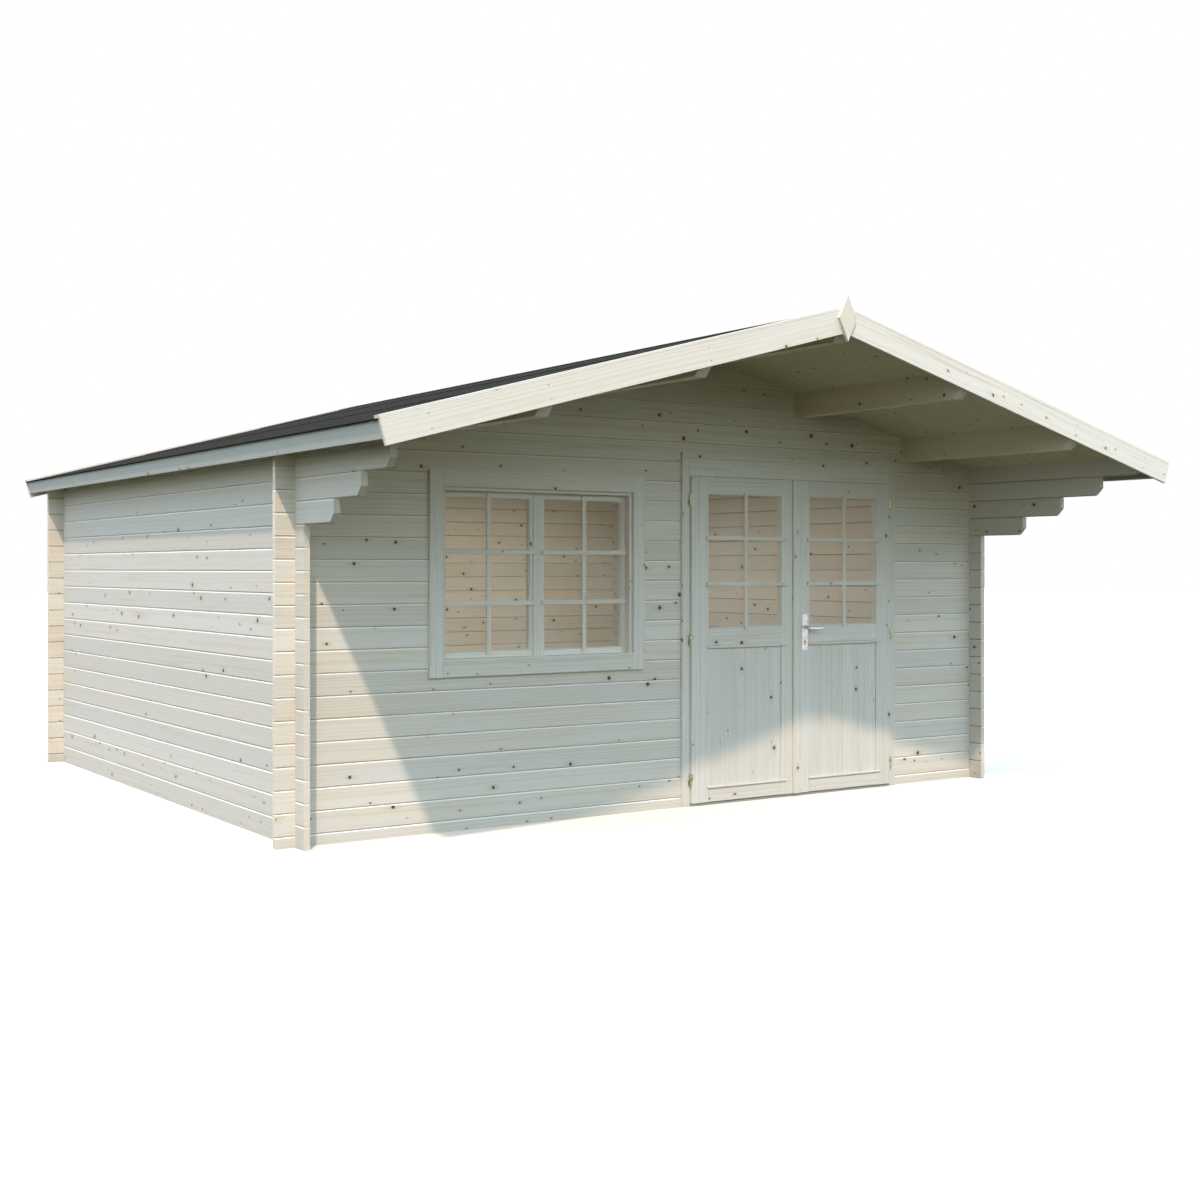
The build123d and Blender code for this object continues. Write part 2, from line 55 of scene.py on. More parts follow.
# %% Camera
SENSOR = 36.0
PHOTO_SIDE = 1200.0
FOCAL_PIXELS = 1569.0
PRINCIPAL = (592.0, 568.7)
lens = bpy.data.cameras.new("photo_camera")
lens.sensor_width = SENSOR
lens.lens = SENSOR * FOCAL_PIXELS / PHOTO_SIDE
lens.shift_x = 0.5 - PRINCIPAL[0] / PHOTO_SIDE
lens.shift_y = PRINCIPAL[1] / PHOTO_SIDE - 0.5
lens.clip_end = 300.0
scene = bpy.context.scene


def linked(name, data):
    """A new object in the scene."""
    made = bpy.data.objects.new(name, data)
    scene.collection.objects.link(made)
    return made


camera = linked("photo_camera", lens)
camera.location = (-5.481, -8.7729, 1.3796)
camera.rotation_euler = (radians(90.0), 0.0, radians(-33.7))
scene.camera = camera
scene.view_settings.view_transform = "Standard"
print("lens", round(lens.lens, 2), "mm")

# %% [markdown]
# Shader maths is easier to read as Python. One small class wraps a socket that gives a number, and
# its operators add Math nodes. Every other node comes from one method of the finish, which sets the
# node's settings first and then its sockets.


# %% Writing finishes as expressions
class Number:
    """A socket whose operators add Math nodes."""

    def __init__(self, finish, socket):
        self.finish = finish
        self.socket = socket

    def math(self, operation, *others):
        values = dict(enumerate((self,) + others))
        return self.finish.node("Math", values, operation=operation)

    def __add__(self, other):
        return self.math("ADD", other)

    def __sub__(self, other):
        return self.math("SUBTRACT", other)

    def __mul__(self, other):
        return self.math("MULTIPLY", other)

    def __truediv__(self, other):
        return self.math("DIVIDE", other)

    def __rsub__(self, other):
        return self.finish.node("Math", {0: other, 1: self}, operation="SUBTRACT")

    def __abs__(self):
        return self.math("ABSOLUTE")

    __radd__ = __add__

    def output(self, name):
        """Another output of the same node."""
        return Number(self.finish, self.socket.node.outputs[name])


class Finish:
    """A tree of shader nodes: a new material's, or one that is given."""

    def __init__(self, name, tree=None):
        if tree is None:
            self.material = bpy.data.materials.new(name)
            self.material.use_nodes = True
            tree = self.material.node_tree
        self.tree = tree
        self.tree.nodes.clear()

    def node(self, kind, sockets, output=0, **settings):
        made = self.tree.nodes.new("ShaderNode" + kind)
        for key, value in settings.items():
            setattr(made, key, value)
        for key, value in sockets.items():
            if isinstance(value, Number):
                self.tree.links.new(value.socket, made.inputs[key])
            else:
                made.inputs[key].default_value = value
        return Number(self, made.outputs[output]) if made.outputs else None

    def mix(self, factor, first, second, mode="MIX"):
        sockets = {0: factor, 6: first, 7: second}
        return self.node("Mix", sockets, 2, data_type="RGBA", blend_type=mode)

    def layered(self, colour, *layers):
        """A colour under layers, each with its share and its colour."""
        for share, layer in layers:
            colour = self.mix(share, colour, layer)
        return colour

    def fade(self, value, low, high):
        """0 below low and 1 above high, with a soft step between."""
        sockets = {"Value": value, "From Min": low, "From Max": high}
        return self.node("MapRange", sockets, interpolation_type="SMOOTHSTEP")

    def vector(self, x, y, z=0.0):
        return self.node("CombineXYZ", {0: x, 1: y, 2: z})

    def noise(self, place, detail=2.0):
        return self.node("TexNoise", {"Vector": place, "Scale": 1.0, "Detail": detail})

    def chance(self, seed, output=0):
        return self.node("TexWhiteNoise", {"W": seed}, output, noise_dimensions="1D")

    def place(self):
        return self.node("TexCoord", {}, "Object")

    def scaled(self, place, scale):
        return self.node("VectorMath", {0: place, "Scale": scale}, operation="SCALE")

    def stored(self, name):
        return self.node("Attribute", {}, "Fac", attribute_name=name)

    def bump(self, strength, distance, height):
        return self.node("Bump", {"Strength": strength, "Distance": distance, "Height": height})

    def split(self, vector):
        first = self.node("SeparateXYZ", {0: vector})
        return first, first.output("Y"), first.output("Z")

    def facing(self):
        return self.split(self.node("NewGeometry", {}, "Normal"))

    def surface(self, sockets):
        """Close the tree with one Principled shader."""
        shader = self.node("BsdfPrincipled", sockets)
        self.node("OutputMaterial", {"Surface": shader})
        return self.material


def rgb(red, green, blue):
    """A screen colour, from 0 to 255, as the linear colour that shaders use."""
    parts = []
    for value in (red, green, blue):
        share = value / 255.0
        parts.append(share / 12.92 if share <= 0.04045 else ((share + 0.055) / 1.055) ** 2.4)
    return (*parts, 1.0)


print("finish writer ready")

# %% [markdown]
# The studio is a white floor under a soft sky, with one sun from the front left. On a product picture
# the floor is white to the eye but throws little light up under the roof, so the camera sees a white
# floor while light that bounces meets a darker one. The sky is dimmer and greener near the horizon,
# which keeps the space under the canopy dark. A lamp stands in for the daylight that fills the room
# behind the glass.

# %% Studio
SKY = (0.69, 0.835, 1.0, 1.0)
HORIZON = (0.61, 0.685, 0.56, 1.0)
HORIZON_TOP = 0.34
SKY_LEVEL = 1.87
SUN_TRAVEL = Vector((0.768, 1.0, -1.563))
SUN_LEVEL = 2.70
SUN_COLOUR = (1.0, 0.79, 0.63)
SUN_ANGLE = radians(1.5)
FLOOR_SIDE = 160.0
FLOOR_BOUNCE = (0.027, 0.029, 0.014, 1.0)
FLOOR_SEEN = (0.97, 0.885, 0.81, 1.0)
ROOM_SIZE = (3.4, 3.0)
ROOM_PLACE = (0.0, 0.6, 1.98)
ROOM_LEVEL = 39.0
ROOM_COLOUR = (1.0, 0.93, 0.84)


def seen_directly(finish):
    """1 for rays that show the background: straight, in a mirror or through glass."""
    path = finish.node("LightPath", {}, "Is Camera Ray")
    seen = path.math("MAXIMUM", path.output("Is Glossy Ray"))
    return seen.math("MAXIMUM", path.output("Is Transmission Ray"))


world = bpy.data.worlds.new("studio_sky")
world.use_nodes = True
scene.world = world
sky = Finish("studio_sky", world.node_tree)
height = sky.split(sky.node("TexCoord", {}, "Generated"))[2]
glow = sky.mix(sky.fade(height, 0.0, HORIZON_TOP), HORIZON, SKY)
lit = sky.node("Background", {"Color": glow, "Strength": SKY_LEVEL})
shown = sky.node("Background", {"Color": (1.0, 1.0, 1.0, 1.0), "Strength": 1.0})
both = sky.node("MixShader", {0: seen_directly(sky), 1: lit, 2: shown})
sky.node("OutputWorld", {"Surface": both})

ground = Finish("studio_floor")
dull = ground.node("BsdfDiffuse", {"Color": FLOOR_BOUNCE})
white = ground.node("BsdfDiffuse", {"Color": FLOOR_SEEN})
seen = seen_directly(ground)
ground.node("OutputMaterial", {
    "Surface": ground.node("MixShader", {0: seen, 1: dull, 2: white}),
})
floor_mesh = bpy.data.meshes.new("studio_floor")
side = FLOOR_SIDE / 2
floor_mesh.from_pydata(
    [(-side, -side, 0.0), (side, -side, 0.0), (side, side, 0.0), (-side, side, 0.0)], [], [(0, 1, 2, 3)]
)
floor_mesh.materials.append(ground.material)
studio_floor = linked("studio_floor", floor_mesh)

sun = bpy.data.lights.new("soft_sun", "SUN")
sun.energy = SUN_LEVEL
sun.color = SUN_COLOUR
sun.angle = SUN_ANGLE
linked("soft_sun", sun).rotation_euler = SUN_TRAVEL.to_track_quat("-Z", "Y").to_euler()

room = bpy.data.lights.new("room_light", "AREA")
room.shape = "RECTANGLE"
room.size, room.size_y = ROOM_SIZE
room.energy = ROOM_LEVEL
room.color = ROOM_COLOUR
linked("room_light", room).location = ROOM_PLACE
print("studio lit from", tuple(round(v, 2) for v in -SUN_TRAVEL))

# %% [markdown]
# Spruce is the finish that matters most here. On a flat-sawn face the growth rings are cut lengthwise,
# so they show as long lines that close into arches. That comes from one rule: the distance from the
# heart of the tree, cut into rings. Each log or board has its own seed, which puts the heart
# elsewhere and moves the knots. Knots are Voronoi points, and rings bend round them.
# The timber is pale and washed out, with a veil of grey over cream.

# %% Spruce
KNOT_CELL = 0.165
RING = 0.0135


def spruce(name, grain, tone):
    """Timber from grain(finish): places along and across, seed, end grain, painted shade in the joints and
    painted highlights on the edges.
    """
    finish = Finish(name)
    along, across, seed, end, joint, edge = grain(finish)
    fade, noise, vector = finish.fade, finish.noise, finish.vector
    first, second, third = finish.split(finish.chance(seed, "Color"))

    knot_place = vector((along + first * 40.0) / KNOT_CELL, (across + second * 20.0) / KNOT_CELL)
    knot = finish.node("TexVoronoi", {"Vector": knot_place, "Scale": 1.0}, voronoi_dimensions="2D")
    size_chance, there_chance, _ = finish.split(knot.output("Color"))
    gap = finish.node("VectorMath", {0: knot_place, 1: knot.output("Position")}, operation="SUBTRACT")
    gap_along, gap_across, _ = finish.split(gap)
    size = (size_chance * size_chance * 0.0085 + 0.0035) / KNOT_CELL
    there = fade(there_chance, tone["clear"], tone["clear"] + 0.02)
    rough_edge = noise(vector(along * 90.0, across * 90.0, seed))
    round_gap = knot.output("Distance") / size + (rough_edge - 0.5) * 0.7
    long_gap = (gap_along * gap_along * 0.16 + gap_across * gap_across).math("SQRT") / size
    core = (1.0 - fade(round_gap, 0.45, 1.0)) * there
    rim = (1.0 - fade(round_gap, 0.8, 1.6)) * there
    halo = (1.0 - fade(long_gap, 0.6, 2.9)) * there

    wander = noise(vector(along * 0.6 + third * 30.0, seed * 1.7), 1.0) - 0.5
    waver = noise(vector(along * 5.0, across * 45.0, seed)) - 0.5
    offset = across - (first - 0.5) * 0.11 - wander * 0.06
    depth = second * 0.07 + 0.014
    heart = (offset * offset + depth * depth).math("SQRT") + halo * 0.008 + waver * 0.008
    ring = (heart / RING).math("FRACT")
    late = fade(ring, 0.4, 0.88) * (1.0 - fade(ring, 0.9, 1.0))

    fibre = noise(vector(along * 6.0, across * 420.0, seed), 3.0)
    cloud = noise(vector(along * 1.1, across * 9.0, seed * 2.3))
    streak = noise(vector(along * 1.5, across * 50.0, seed * 3.1), 1.0)
    stain = fade(streak, 0.58, 0.76) * fade(third, 0.3, 0.8)

    colour = finish.layered(
        tone["early"], (late * tone["ring"], tone["late"]),
        (fade(fibre, 0.5, 0.8) * 0.3, tone["fibre"]),
        (fade(cloud, 0.4, 0.72) * 0.55, tone["veil"]), (stain * 0.3, tone["stain"]),
        (halo * 0.25, tone["stain"]), (rim * 0.65, tone["knot"]), (core * 0.95, tone["heart"]),
    )
    saw = fade(noise(vector(along * 60.0, across * 500.0, seed)), 0.35, 0.7)
    colour = finish.mix(end, colour, finish.mix(saw * 0.25, tone["end"], tone["late"]))
    # Logs only: a painted highlight along the upper edge of each log and painted shade in each joint.
    if joint:
        colour = finish.layered(colour, (edge, tone["edge"]), (joint, tone["joint"]))
    level = second * tone["vary"] + (1.02 - tone["vary"])
    warm = third * 0.05 + 0.955
    tint = vector(level, level * (warm * 0.4 + 0.6), level * warm)
    colour = finish.mix(1.0, colour, tint, "MULTIPLY")

    height = fibre * 0.5 - late * 0.3 - core * 0.5 + saw * end * 0.4
    return finish.surface({
        "Base Color": colour, "Roughness": 0.6 + fibre * 0.2 - core * 0.12,
        "Normal": finish.bump(0.3, 0.0012, height), "Specular IOR Level": 0.16,
    })


# In each tone, joint is the colour of painted shade in the log joints and edge the colour of a painted
# highlight on their upper edges.
PALE = {
    "early": rgb(228, 222, 209), "late": rgb(206, 188, 160), "fibre": rgb(212, 200, 180),
    "veil": rgb(226, 227, 222), "stain": rgb(198, 175, 144), "knot": rgb(120, 92, 70),
    "heart": rgb(48, 38, 33), "end": rgb(230, 222, 208), "joint": rgb(104, 92, 76), "ring": 0.34,
    "edge": rgb(252, 250, 246), "clear": 0.5, "vary": 0.1,
}
# GREY is PALE made darker and greyer for the side walls, as painted shade for the weaker light on them; the
# floor boards use it too.
GREY = dict(
    PALE, early=rgb(215, 211, 203), late=rgb(192, 180, 160), fibre=rgb(198, 191, 178),
    veil=rgb(210, 211, 207), ring=0.24,
)
# The eave tone is GREY made darker and bluer for the fascia boards: painted shade under the felt's edge.
SHADED_EAVE = dict(
    GREY, early=rgb(194, 198, 195), late=rgb(176, 173, 160), fibre=rgb(180, 180, 171), veil=rgb(193, 198, 197)
)
# The warm tone is the rawer, warmer timber of the roof deck and purlins, also made darker and olive as
# painted shade under the canopy.
WARM_SHADED = dict(
    PALE, early=rgb(204, 201, 170), late=rgb(190, 178, 144), veil=rgb(198, 198, 174), ring=0.25, vary=0.02
)
print("spruce in four tones, rings", RING, "m apart")

# %% [markdown]
# Logs stay as the part has them, so their finish reads the place on the object. The course of a log
# comes from its height. Side logs start on the ground, and the front and rear walls start with half a
# log, so their courses are shifted by half a height.

# %% Finishes for logs and beams
LOG_HEIGHT = 0.114
HALF_LOG = LOG_HEIGHT / 2


def log_grain(axis, lift):
    """Grain along one axis, with a new seed for each course of logs."""

    def grain(finish):
        place = finish.split(finish.place())
        facing = finish.facing()
        raised = place[2] + lift
        course = (raised / LOG_HEIGHT).math("FLOOR")
        across = raised - (course + 0.5) * LOG_HEIGHT
        wall = place[1 - axis].math("SIGN")
        end = finish.fade(abs(facing[axis]), 0.6, 0.8)
        outside = finish.fade(facing[1 - axis] * wall + end, -0.2, 0.2)
        # Painted shade: a dark line on the lower bevel of the log above and at the root of the groove,
        # stronger on inside faces. Painted highlight: a pale line on the upper bevel of each log, on outside
        # faces only.
        under = finish.fade(0.0 - across, HALF_LOG - 0.0045, HALF_LOG - 0.001)
        over = finish.fade(across, HALF_LOG - 0.0012, HALF_LOG)
        joint = under.math("MAXIMUM", over) * (0.8 - outside * 0.34)
        edge = finish.fade(across, HALF_LOG - 0.0095, HALF_LOG - 0.0055) * outside * 0.78
        return place[axis], across, course * 3.7 + wall * 91.3, end, joint, edge

    return grain


def beam_grain(axis, spread):
    """Grain along one axis, with a new seed for each beam that stands apart from the next."""

    def grain(finish):
        place = finish.split(finish.place())
        facing = finish.facing()
        others = [part for index, part in enumerate(place) if index != axis]
        seed = (others[0] / spread).math("ROUND")
        across = others[1] - others[0] * 0.7 + seed * spread * 0.7
        end = finish.fade(abs(facing[axis]), 0.6, 0.8)
        return place[axis], across, seed * 5.3 + 7.0, end, None, None

    return grain


def dress(material, *names):
    """Give CAD nodes a finish."""
    for name in names:
        mesh = nodes[name].data
        mesh.materials.clear()
        mesh.materials.append(material)


side_logs = spruce("side_log_spruce", log_grain(1, 0.0), GREY)
cross_logs = spruce("cross_log_spruce", log_grain(0, HALF_LOG), PALE)
# The purlins take the warm tone: their darker, olive colour is painted shade under the canopy.
roof_beams = spruce("roof_beam_spruce", beam_grain(1, 0.4), dict(WARM_SHADED, early=rgb(214, 205, 184)))
jamb_spruce = spruce("jamb_spruce", beam_grain(2, 0.3), PALE)
sill_spruce = spruce("sill_spruce", beam_grain(0, 0.2), PALE)
dress(side_logs, "left_wall", "right_wall")
dress(
    cross_logs, "front_logs_below_window", "front_logs_left_of_window", "front_logs_between_openings",
    "front_logs_right_of_door", "front_logs_over_openings", "front_gable", "rear_wall", "rear_gable",
)
dress(roof_beams, "ridge_purlin", "left_purlins", "right_purlins")
dress(jamb_spruce, "door_lining", "gable_diamond")
dress(sill_spruce, "door_threshold")
print("logs and beams dressed")

# %% [markdown]
# Boards are planed, so their edges are eased and catch the light. A board is a section carried along its
# length, and it carries its own map: one number along the grain, one round the section. The spruce
# reads that map, so the grain follows each stile, rail and sloping board. A seed for each
# board and a mark on its sawn ends go with it.


# %% Boards
class Boards:
    """The boards of one piece, collected as corners, faces and a map of the grain."""

    def __init__(self, first_seed):
        self.points = []
        self.faces = []
        self.chart = []
        self.seeds = []
        self.ends = []
        self.seed = first_seed

    def face(self, corners, chart, end, turned):
        self.faces.append(corners[::-1] if turned else corners)
        self.chart += chart[::-1] if turned else chart
        self.seeds.append(self.seed)
        self.ends.append(end)

    def board(self, place, length, section, near=None):
        """Carry a section along; near(across, inward) slants the first end."""
        count = len(section)
        base = len(self.points)
        for reach in (0.0, length):
            for across, inward in section:
                slant = near(across, inward) if near and reach == 0.0 else 0.0
                self.points.append(place @ Vector((reach + slant, across, inward)))
        run = [section[0][0]]
        for index, point in enumerate(section):
            after = section[(index + 1) % count]
            run.append(run[-1] + dist(point, after))
        turned = place.determinant() < 0.0
        for i in range(count):
            j = (i + 1) % count
            corners = [base + i, base + j, base + count + j, base + count + i]
            chart = [(0.0, run[i]), (0.0, run[i + 1]), (length, run[i + 1]), (length, run[i])]
            self.face(corners, chart, 0.0, turned)
        first = list(range(base, base + count))
        last = [corner + count for corner in first]
        self.face(first[::-1], section[::-1], 1.0, turned)
        self.face(last, list(section), 1.0, turned)
        self.seed += 1.37

    def mesh(self, name, material, seeded=True):
        mesh = bpy.data.meshes.new(name)
        mesh.from_pydata(self.points, [], self.faces)
        grain = mesh.uv_layers.new(name="grain")
        grain.data.foreach_set("uv", [part for pair in self.chart for part in pair])
        marks = [("end_grain", self.ends)]
        if seeded:
            marks.append(("seed", self.seeds))
        for key, values in marks:
            mesh.attributes.new(key, "FLOAT", "FACE").data.foreach_set("value", values)
        mesh.polygons.foreach_set("use_smooth", [True] * len(self.faces))
        mesh.set_sharp_from_angle(angle=radians(20.0))
        mesh.materials.append(material)
        return mesh


def eased(width, thickness, ease=0.0025):
    """The section of a board with rounded edges, from its face inwards."""
    half = width / 2
    centres = (
        (half - ease, ease, 270), (half - ease, thickness - ease, 0),
        (ease - half, thickness - ease, 90), (ease - half, ease, 180),
    )
    points = []
    for x, y, start in centres:
        for step in (0, 45, 90):
            angle = radians(start + step)
            points.append((x + ease * cos(angle), y + ease * sin(angle)))
    return points[-1:] + points[:-1]


def vee_jointed(pitch, thickness, joint):
    """The section of a board laid at a pitch; a joint is a gap and a bevel on both edges of the face."""
    gap, bevel = joint
    half = (pitch - gap) / 2
    return [
        (bevel - half, 0.0), (half - bevel, 0.0), (half, bevel), (half, thickness),
        (-half, thickness), (-half, bevel),
    ]


def axes(origin, along, across, inward):
    """The matrix that sets a board's own directions in the frame."""
    columns = (Vector(along), Vector(across), Vector(inward), Vector(origin))
    return Matrix([[column[row] for column in columns] for row in range(3)] + [[0.0, 0.0, 0.0, 1.0]])


def upright(boards, x0, x1, y0, y1, z0, z1, ease=0.0025):
    place = axes(((x0 + x1) / 2, y0, z0), (0, 0, 1), (1, 0, 0), (0, 1, 0))
    boards.board(place, z1 - z0, eased(x1 - x0, y1 - y0, ease))


def level(boards, x0, x1, y0, y1, z0, z1, ease=0.0025):
    place = axes((x0, y0, (z0 + z1) / 2), (1, 0, 0), (0, 0, 1), (0, 1, 0))
    boards.board(place, x1 - x0, eased(z1 - z0, y1 - y0, ease))


def piece(name, mesh, body, slot, *replaced):
    """Add a finished mesh to the object, on one body, in place of CAD nodes."""
    made = linked(name, mesh)
    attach(made, body)
    if replaced:
        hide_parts(*replaced)
    print(name, len(mesh.polygons), "faces")


def board_piece(name, boards, body, slot, *replaced):
    """Add planed boards to the object."""
    piece(name, boards.mesh(name, planed), body, slot, *replaced)


def board_grain(finish):
    """Grain from a board's own map."""
    chart = finish.split(finish.node("UVMap", {}, uv_map="grain"))
    return chart[0], chart[1], finish.stored("seed"), finish.stored("end_grain"), None, None


planed = spruce("planed_spruce", board_grain, dict(
    PALE, early=rgb(227, 224, 215), late=rgb(208, 194, 170), clear=0.6, ring=0.42, vary=0.06
))
# The fascia boards take a tone darkened and blued as painted shade under the felt's edge.
shaded_eave_spruce = spruce("shaded_eave_spruce", board_grain, SHADED_EAVE)
# The deck boards take the warm tone, darkened as painted shade under the canopy.
rough_sawn = spruce("deck_spruce", board_grain, WARM_SHADED)
floor_spruce = spruce("floor_spruce", board_grain, GREY)
print("boards ready")

# %% [markdown]
# Boards of a roof, a floor or a door panel repeat at one pitch, so Geometry Nodes lay them: a line of
# points, one copy on each, and a random seed stored on each copy for its grain. Nails and
# screws use a second tree that puts one head on each point that it is given.


# %% Rows and heads in Geometry Nodes
def new_tree(name, inputs):
    tree = bpy.data.node_groups.new(name, "GeometryNodeTree")
    for label, kind in inputs:
        tree.interface.new_socket(name=label, in_out="INPUT", socket_type="NodeSocket" + kind)
    tree.interface.new_socket(name="Geometry", in_out="OUTPUT", socket_type="NodeSocketGeometry")
    return tree, tree.nodes.new("NodeGroupInput"), tree.nodes.new("NodeGroupOutput")


def finish_tree(tree, given, out, points):
    """One copy on each point, with its own seed, made real and given its finish."""
    source = tree.nodes.new("GeometryNodeObjectInfo")
    copies = tree.nodes.new("GeometryNodeInstanceOnPoints")
    chance = tree.nodes.new("FunctionNodeRandomValue")
    store = tree.nodes.new("GeometryNodeStoreNamedAttribute")
    real = tree.nodes.new("GeometryNodeRealizeInstances")
    paint = tree.nodes.new("GeometryNodeSetMaterial")
    chance.data_type = "FLOAT"
    chance.inputs[3].default_value = 100.0
    store.data_type = "FLOAT"
    store.domain = "INSTANCE"
    store.inputs["Name"].default_value = "seed"
    link = tree.links.new
    link(given.outputs["Copy"], source.inputs["Object"])
    link(points, copies.inputs["Points"])
    link(source.outputs["Geometry"], copies.inputs["Instance"])
    link(given.outputs["Seed"], chance.inputs["Seed"])
    link(copies.outputs["Instances"], store.inputs["Geometry"])
    link(chance.outputs[1], store.inputs["Value"])
    link(given.outputs["Finish"], paint.inputs["Material"])
    for near, far in ((store, real), (real, paint), (paint, out)):
        link(near.outputs["Geometry"], far.inputs["Geometry"])


row_tree, given, out = new_tree("row_of_boards", (
    ("Copy", "Object"), ("Count", "Int"), ("Step", "Vector"), ("Seed", "Int"), ("Finish", "Material"),
))
line = row_tree.nodes.new("GeometryNodeMeshLine")
row_tree.links.new(given.outputs["Count"], line.inputs["Count"])
row_tree.links.new(given.outputs["Step"], line.inputs["Offset"])
finish_tree(row_tree, given, out, line.outputs["Mesh"])

head_tree, given, out = new_tree("heads_on_points", (
    ("Geometry", "Geometry"), ("Copy", "Object"), ("Seed", "Int"), ("Finish", "Material"),
))
finish_tree(head_tree, given, out, given.outputs["Geometry"])


def grown(name, tree, host_mesh, copied, values):
    """The plain mesh that a tree makes of copies."""
    source = linked(name + "_first", copied)
    host = linked(name + "_host", host_mesh)
    modifier = host.modifiers.new("grow", "NODES")
    modifier.node_group = tree
    values = dict(values, Copy=source)
    for item in tree.interface.items_tree:
        if item.in_out == "INPUT" and item.name in values:
            modifier[item.identifier] = values[item.name]
    graph = bpy.context.evaluated_depsgraph_get()
    mesh = bpy.data.meshes.new_from_object(
        host.evaluated_get(graph), preserve_all_data_layers=True, depsgraph=graph
    )
    mesh.name = name
    host.modifiers.clear()
    bpy.data.objects.remove(host)
    bpy.data.objects.remove(source)
    return mesh


def row(name, board, count, step, seed, material, *where):
    """Add copies of a first board, one step apart."""
    first = Boards(0.0)
    first.board(*board)
    copied = first.mesh(name + "_first", material, seeded=False)
    values = {"Count": count, "Step": step, "Seed": seed, "Finish": material}
    piece(name, grown(name, row_tree, bpy.data.meshes.new(name + "_host"), copied, values), *where)


print("trees", row_tree.name, head_tree.name)

# %% [markdown]
# The roof deck is tongued boards laid from ridge to eave, with their bevelled faces down, where they are
# seen under the canopy. The two slopes meet in a plumb cut, so the near end of each board is slanted.

# %% Roof deck
PITCH = radians(14.83)
DECK = 0.019
SEAT = 0.0003
deck_low, deck_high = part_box("left_roof_deck")
RIDGE = Vector((0.0, 0.0, deck_high.z - DECK / cos(PITCH)))
DECK_RUN = (deck_high.x - deck_low.x) / cos(PITCH)
DECK_COUNT = 58
DECK_JOINT = (0.0004, 0.0008)
SIDES = (("left", -1.0), ("right", 1.0))
deck_step = (deck_high.y - deck_low.y) / DECK_COUNT


def down(side):
    return Vector((side * cos(PITCH), 0.0, -sin(PITCH)))


def off(side):
    return Vector((side * sin(PITCH), 0.0, cos(PITCH)))


def on_slope(side, along, lift, y):
    """A point at a depth, so far down a slope from the ridge and lifted off it."""
    return RIDGE + down(side) * along + off(side) * lift + Vector((0.0, y, 0.0))


for label, side in SIDES:
    start = on_slope(side, 0.0, 0.0, deck_low.y + deck_step / 2)
    board = (
        axes(start, down(side), (0, 1, 0), off(side)), DECK_RUN, vee_jointed(deck_step, DECK, DECK_JOINT),
        lambda across, inward: SEAT - inward * tan(PITCH),
    )
    row(
        label + "_deck_boards", board, DECK_COUNT, (0.0, deck_step, 0.0), 3, rough_sawn,
        "shed", "roof_wood", label + "_roof_deck",
    )

# %% [markdown]
# Floor boards lie across the room, planed side up. They are seen through the glass and when the leaves
# stand open.

# %% Floor boards
FLOOR_COUNT = 36
FLOOR_JOINT = (0.0012, 0.0025)
floor_low, floor_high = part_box("floor")
floor_step = (floor_high.y - floor_low.y) / FLOOR_COUNT
board = (
    axes((floor_low.x, floor_low.y + floor_step / 2, floor_high.z), (1, 0, 0), (0, 1, 0), (0, 0, -1)),
    floor_high.x - floor_low.x, vee_jointed(floor_step, floor_high.z - floor_low.z, FLOOR_JOINT),
)
row(
    "floor_boards", board, FLOOR_COUNT, (0.0, floor_step, 0.0), 5, floor_spruce,
    "shed", "floor_wood", "floor",
)

# %% [markdown]
# Bargeboards run down both gable edges, caps lie on them, and a fascia closes each eave. All are planed
# boards on the slope, so they use the same board helper with sloping directions.

# %% Boards along the edges of the roof
FELT_TOP = 0.0223
BARGE_DEPTH = 0.118
BARGE_RUN = 2.6880
NAIL_RISE = 0.0012
CAP = (0.045, 0.014)
CAP_RUN = 2.6900
RIDGE_JOINT = 0.0002


def plumb(rise):
    """Slants the near end of a board on the slope, so that two boards meet over the ridge."""
    return lambda across, inward: RIDGE_JOINT - (rise + across) * tan(PITCH)


for label in ("front", "rear"):
    low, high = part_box(label + "_bargeboards")
    face_y, inward = (low.y, 1.0) if label == "front" else (high.y - NAIL_RISE, -1.0)
    thick = high.y - face_y if label == "front" else face_y - low.y
    boards = Boards(11.0 if label == "front" else 23.0)
    rise = FELT_TOP - BARGE_DEPTH / 2
    for side in (-1.0, 1.0):
        start = on_slope(side, 0.0, rise, face_y)
        boards.board(
            axes(start, down(side), off(side), (0, inward, 0)), BARGE_RUN,
            eased(BARGE_DEPTH, thick, 0.001), plumb(rise),
        )
    board_piece(label + "_bargeboard_pair", boards, "shed", "trim_wood", label + "_bargeboards")

boards = Boards(37.0)
cap_low, cap_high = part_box("verge_caps")
cap_rise = FELT_TOP + SEAT + CAP[1]
for y in (cap_low.y + CAP[0] / 2, cap_high.y - CAP[0] / 2):
    for side in (-1.0, 1.0):
        start = on_slope(side, 0.0, cap_rise, y)
        boards.board(
            axes(start, down(side), (0, 1, 0), -off(side)), CAP_RUN, eased(CAP[0], CAP[1], 0.0012),
            lambda across, inward: RIDGE_JOINT - (cap_rise - inward) * tan(PITCH),
        )
board_piece("verge_cap_laths", boards, "shed", "trim_wood", "verge_caps")

FASCIA = (0.086, 0.018)
FASCIA_OUTER = 2.6821
for label, side in SIDES:
    boards = Boards(41.0 + side)
    start = on_slope(side, FASCIA_OUTER, DECK - FASCIA[0] / 2, deck_low.y)
    boards.board(
        axes(start, (0, 1, 0), off(side), -down(side)), deck_high.y - deck_low.y, eased(FASCIA[0], FASCIA[1])
    )
    mesh = boards.mesh(label + "_fascia_board", shaded_eave_spruce)
    piece(label + "_fascia_board", mesh, "shed", "trim_wood", label + "_eave_fascia")

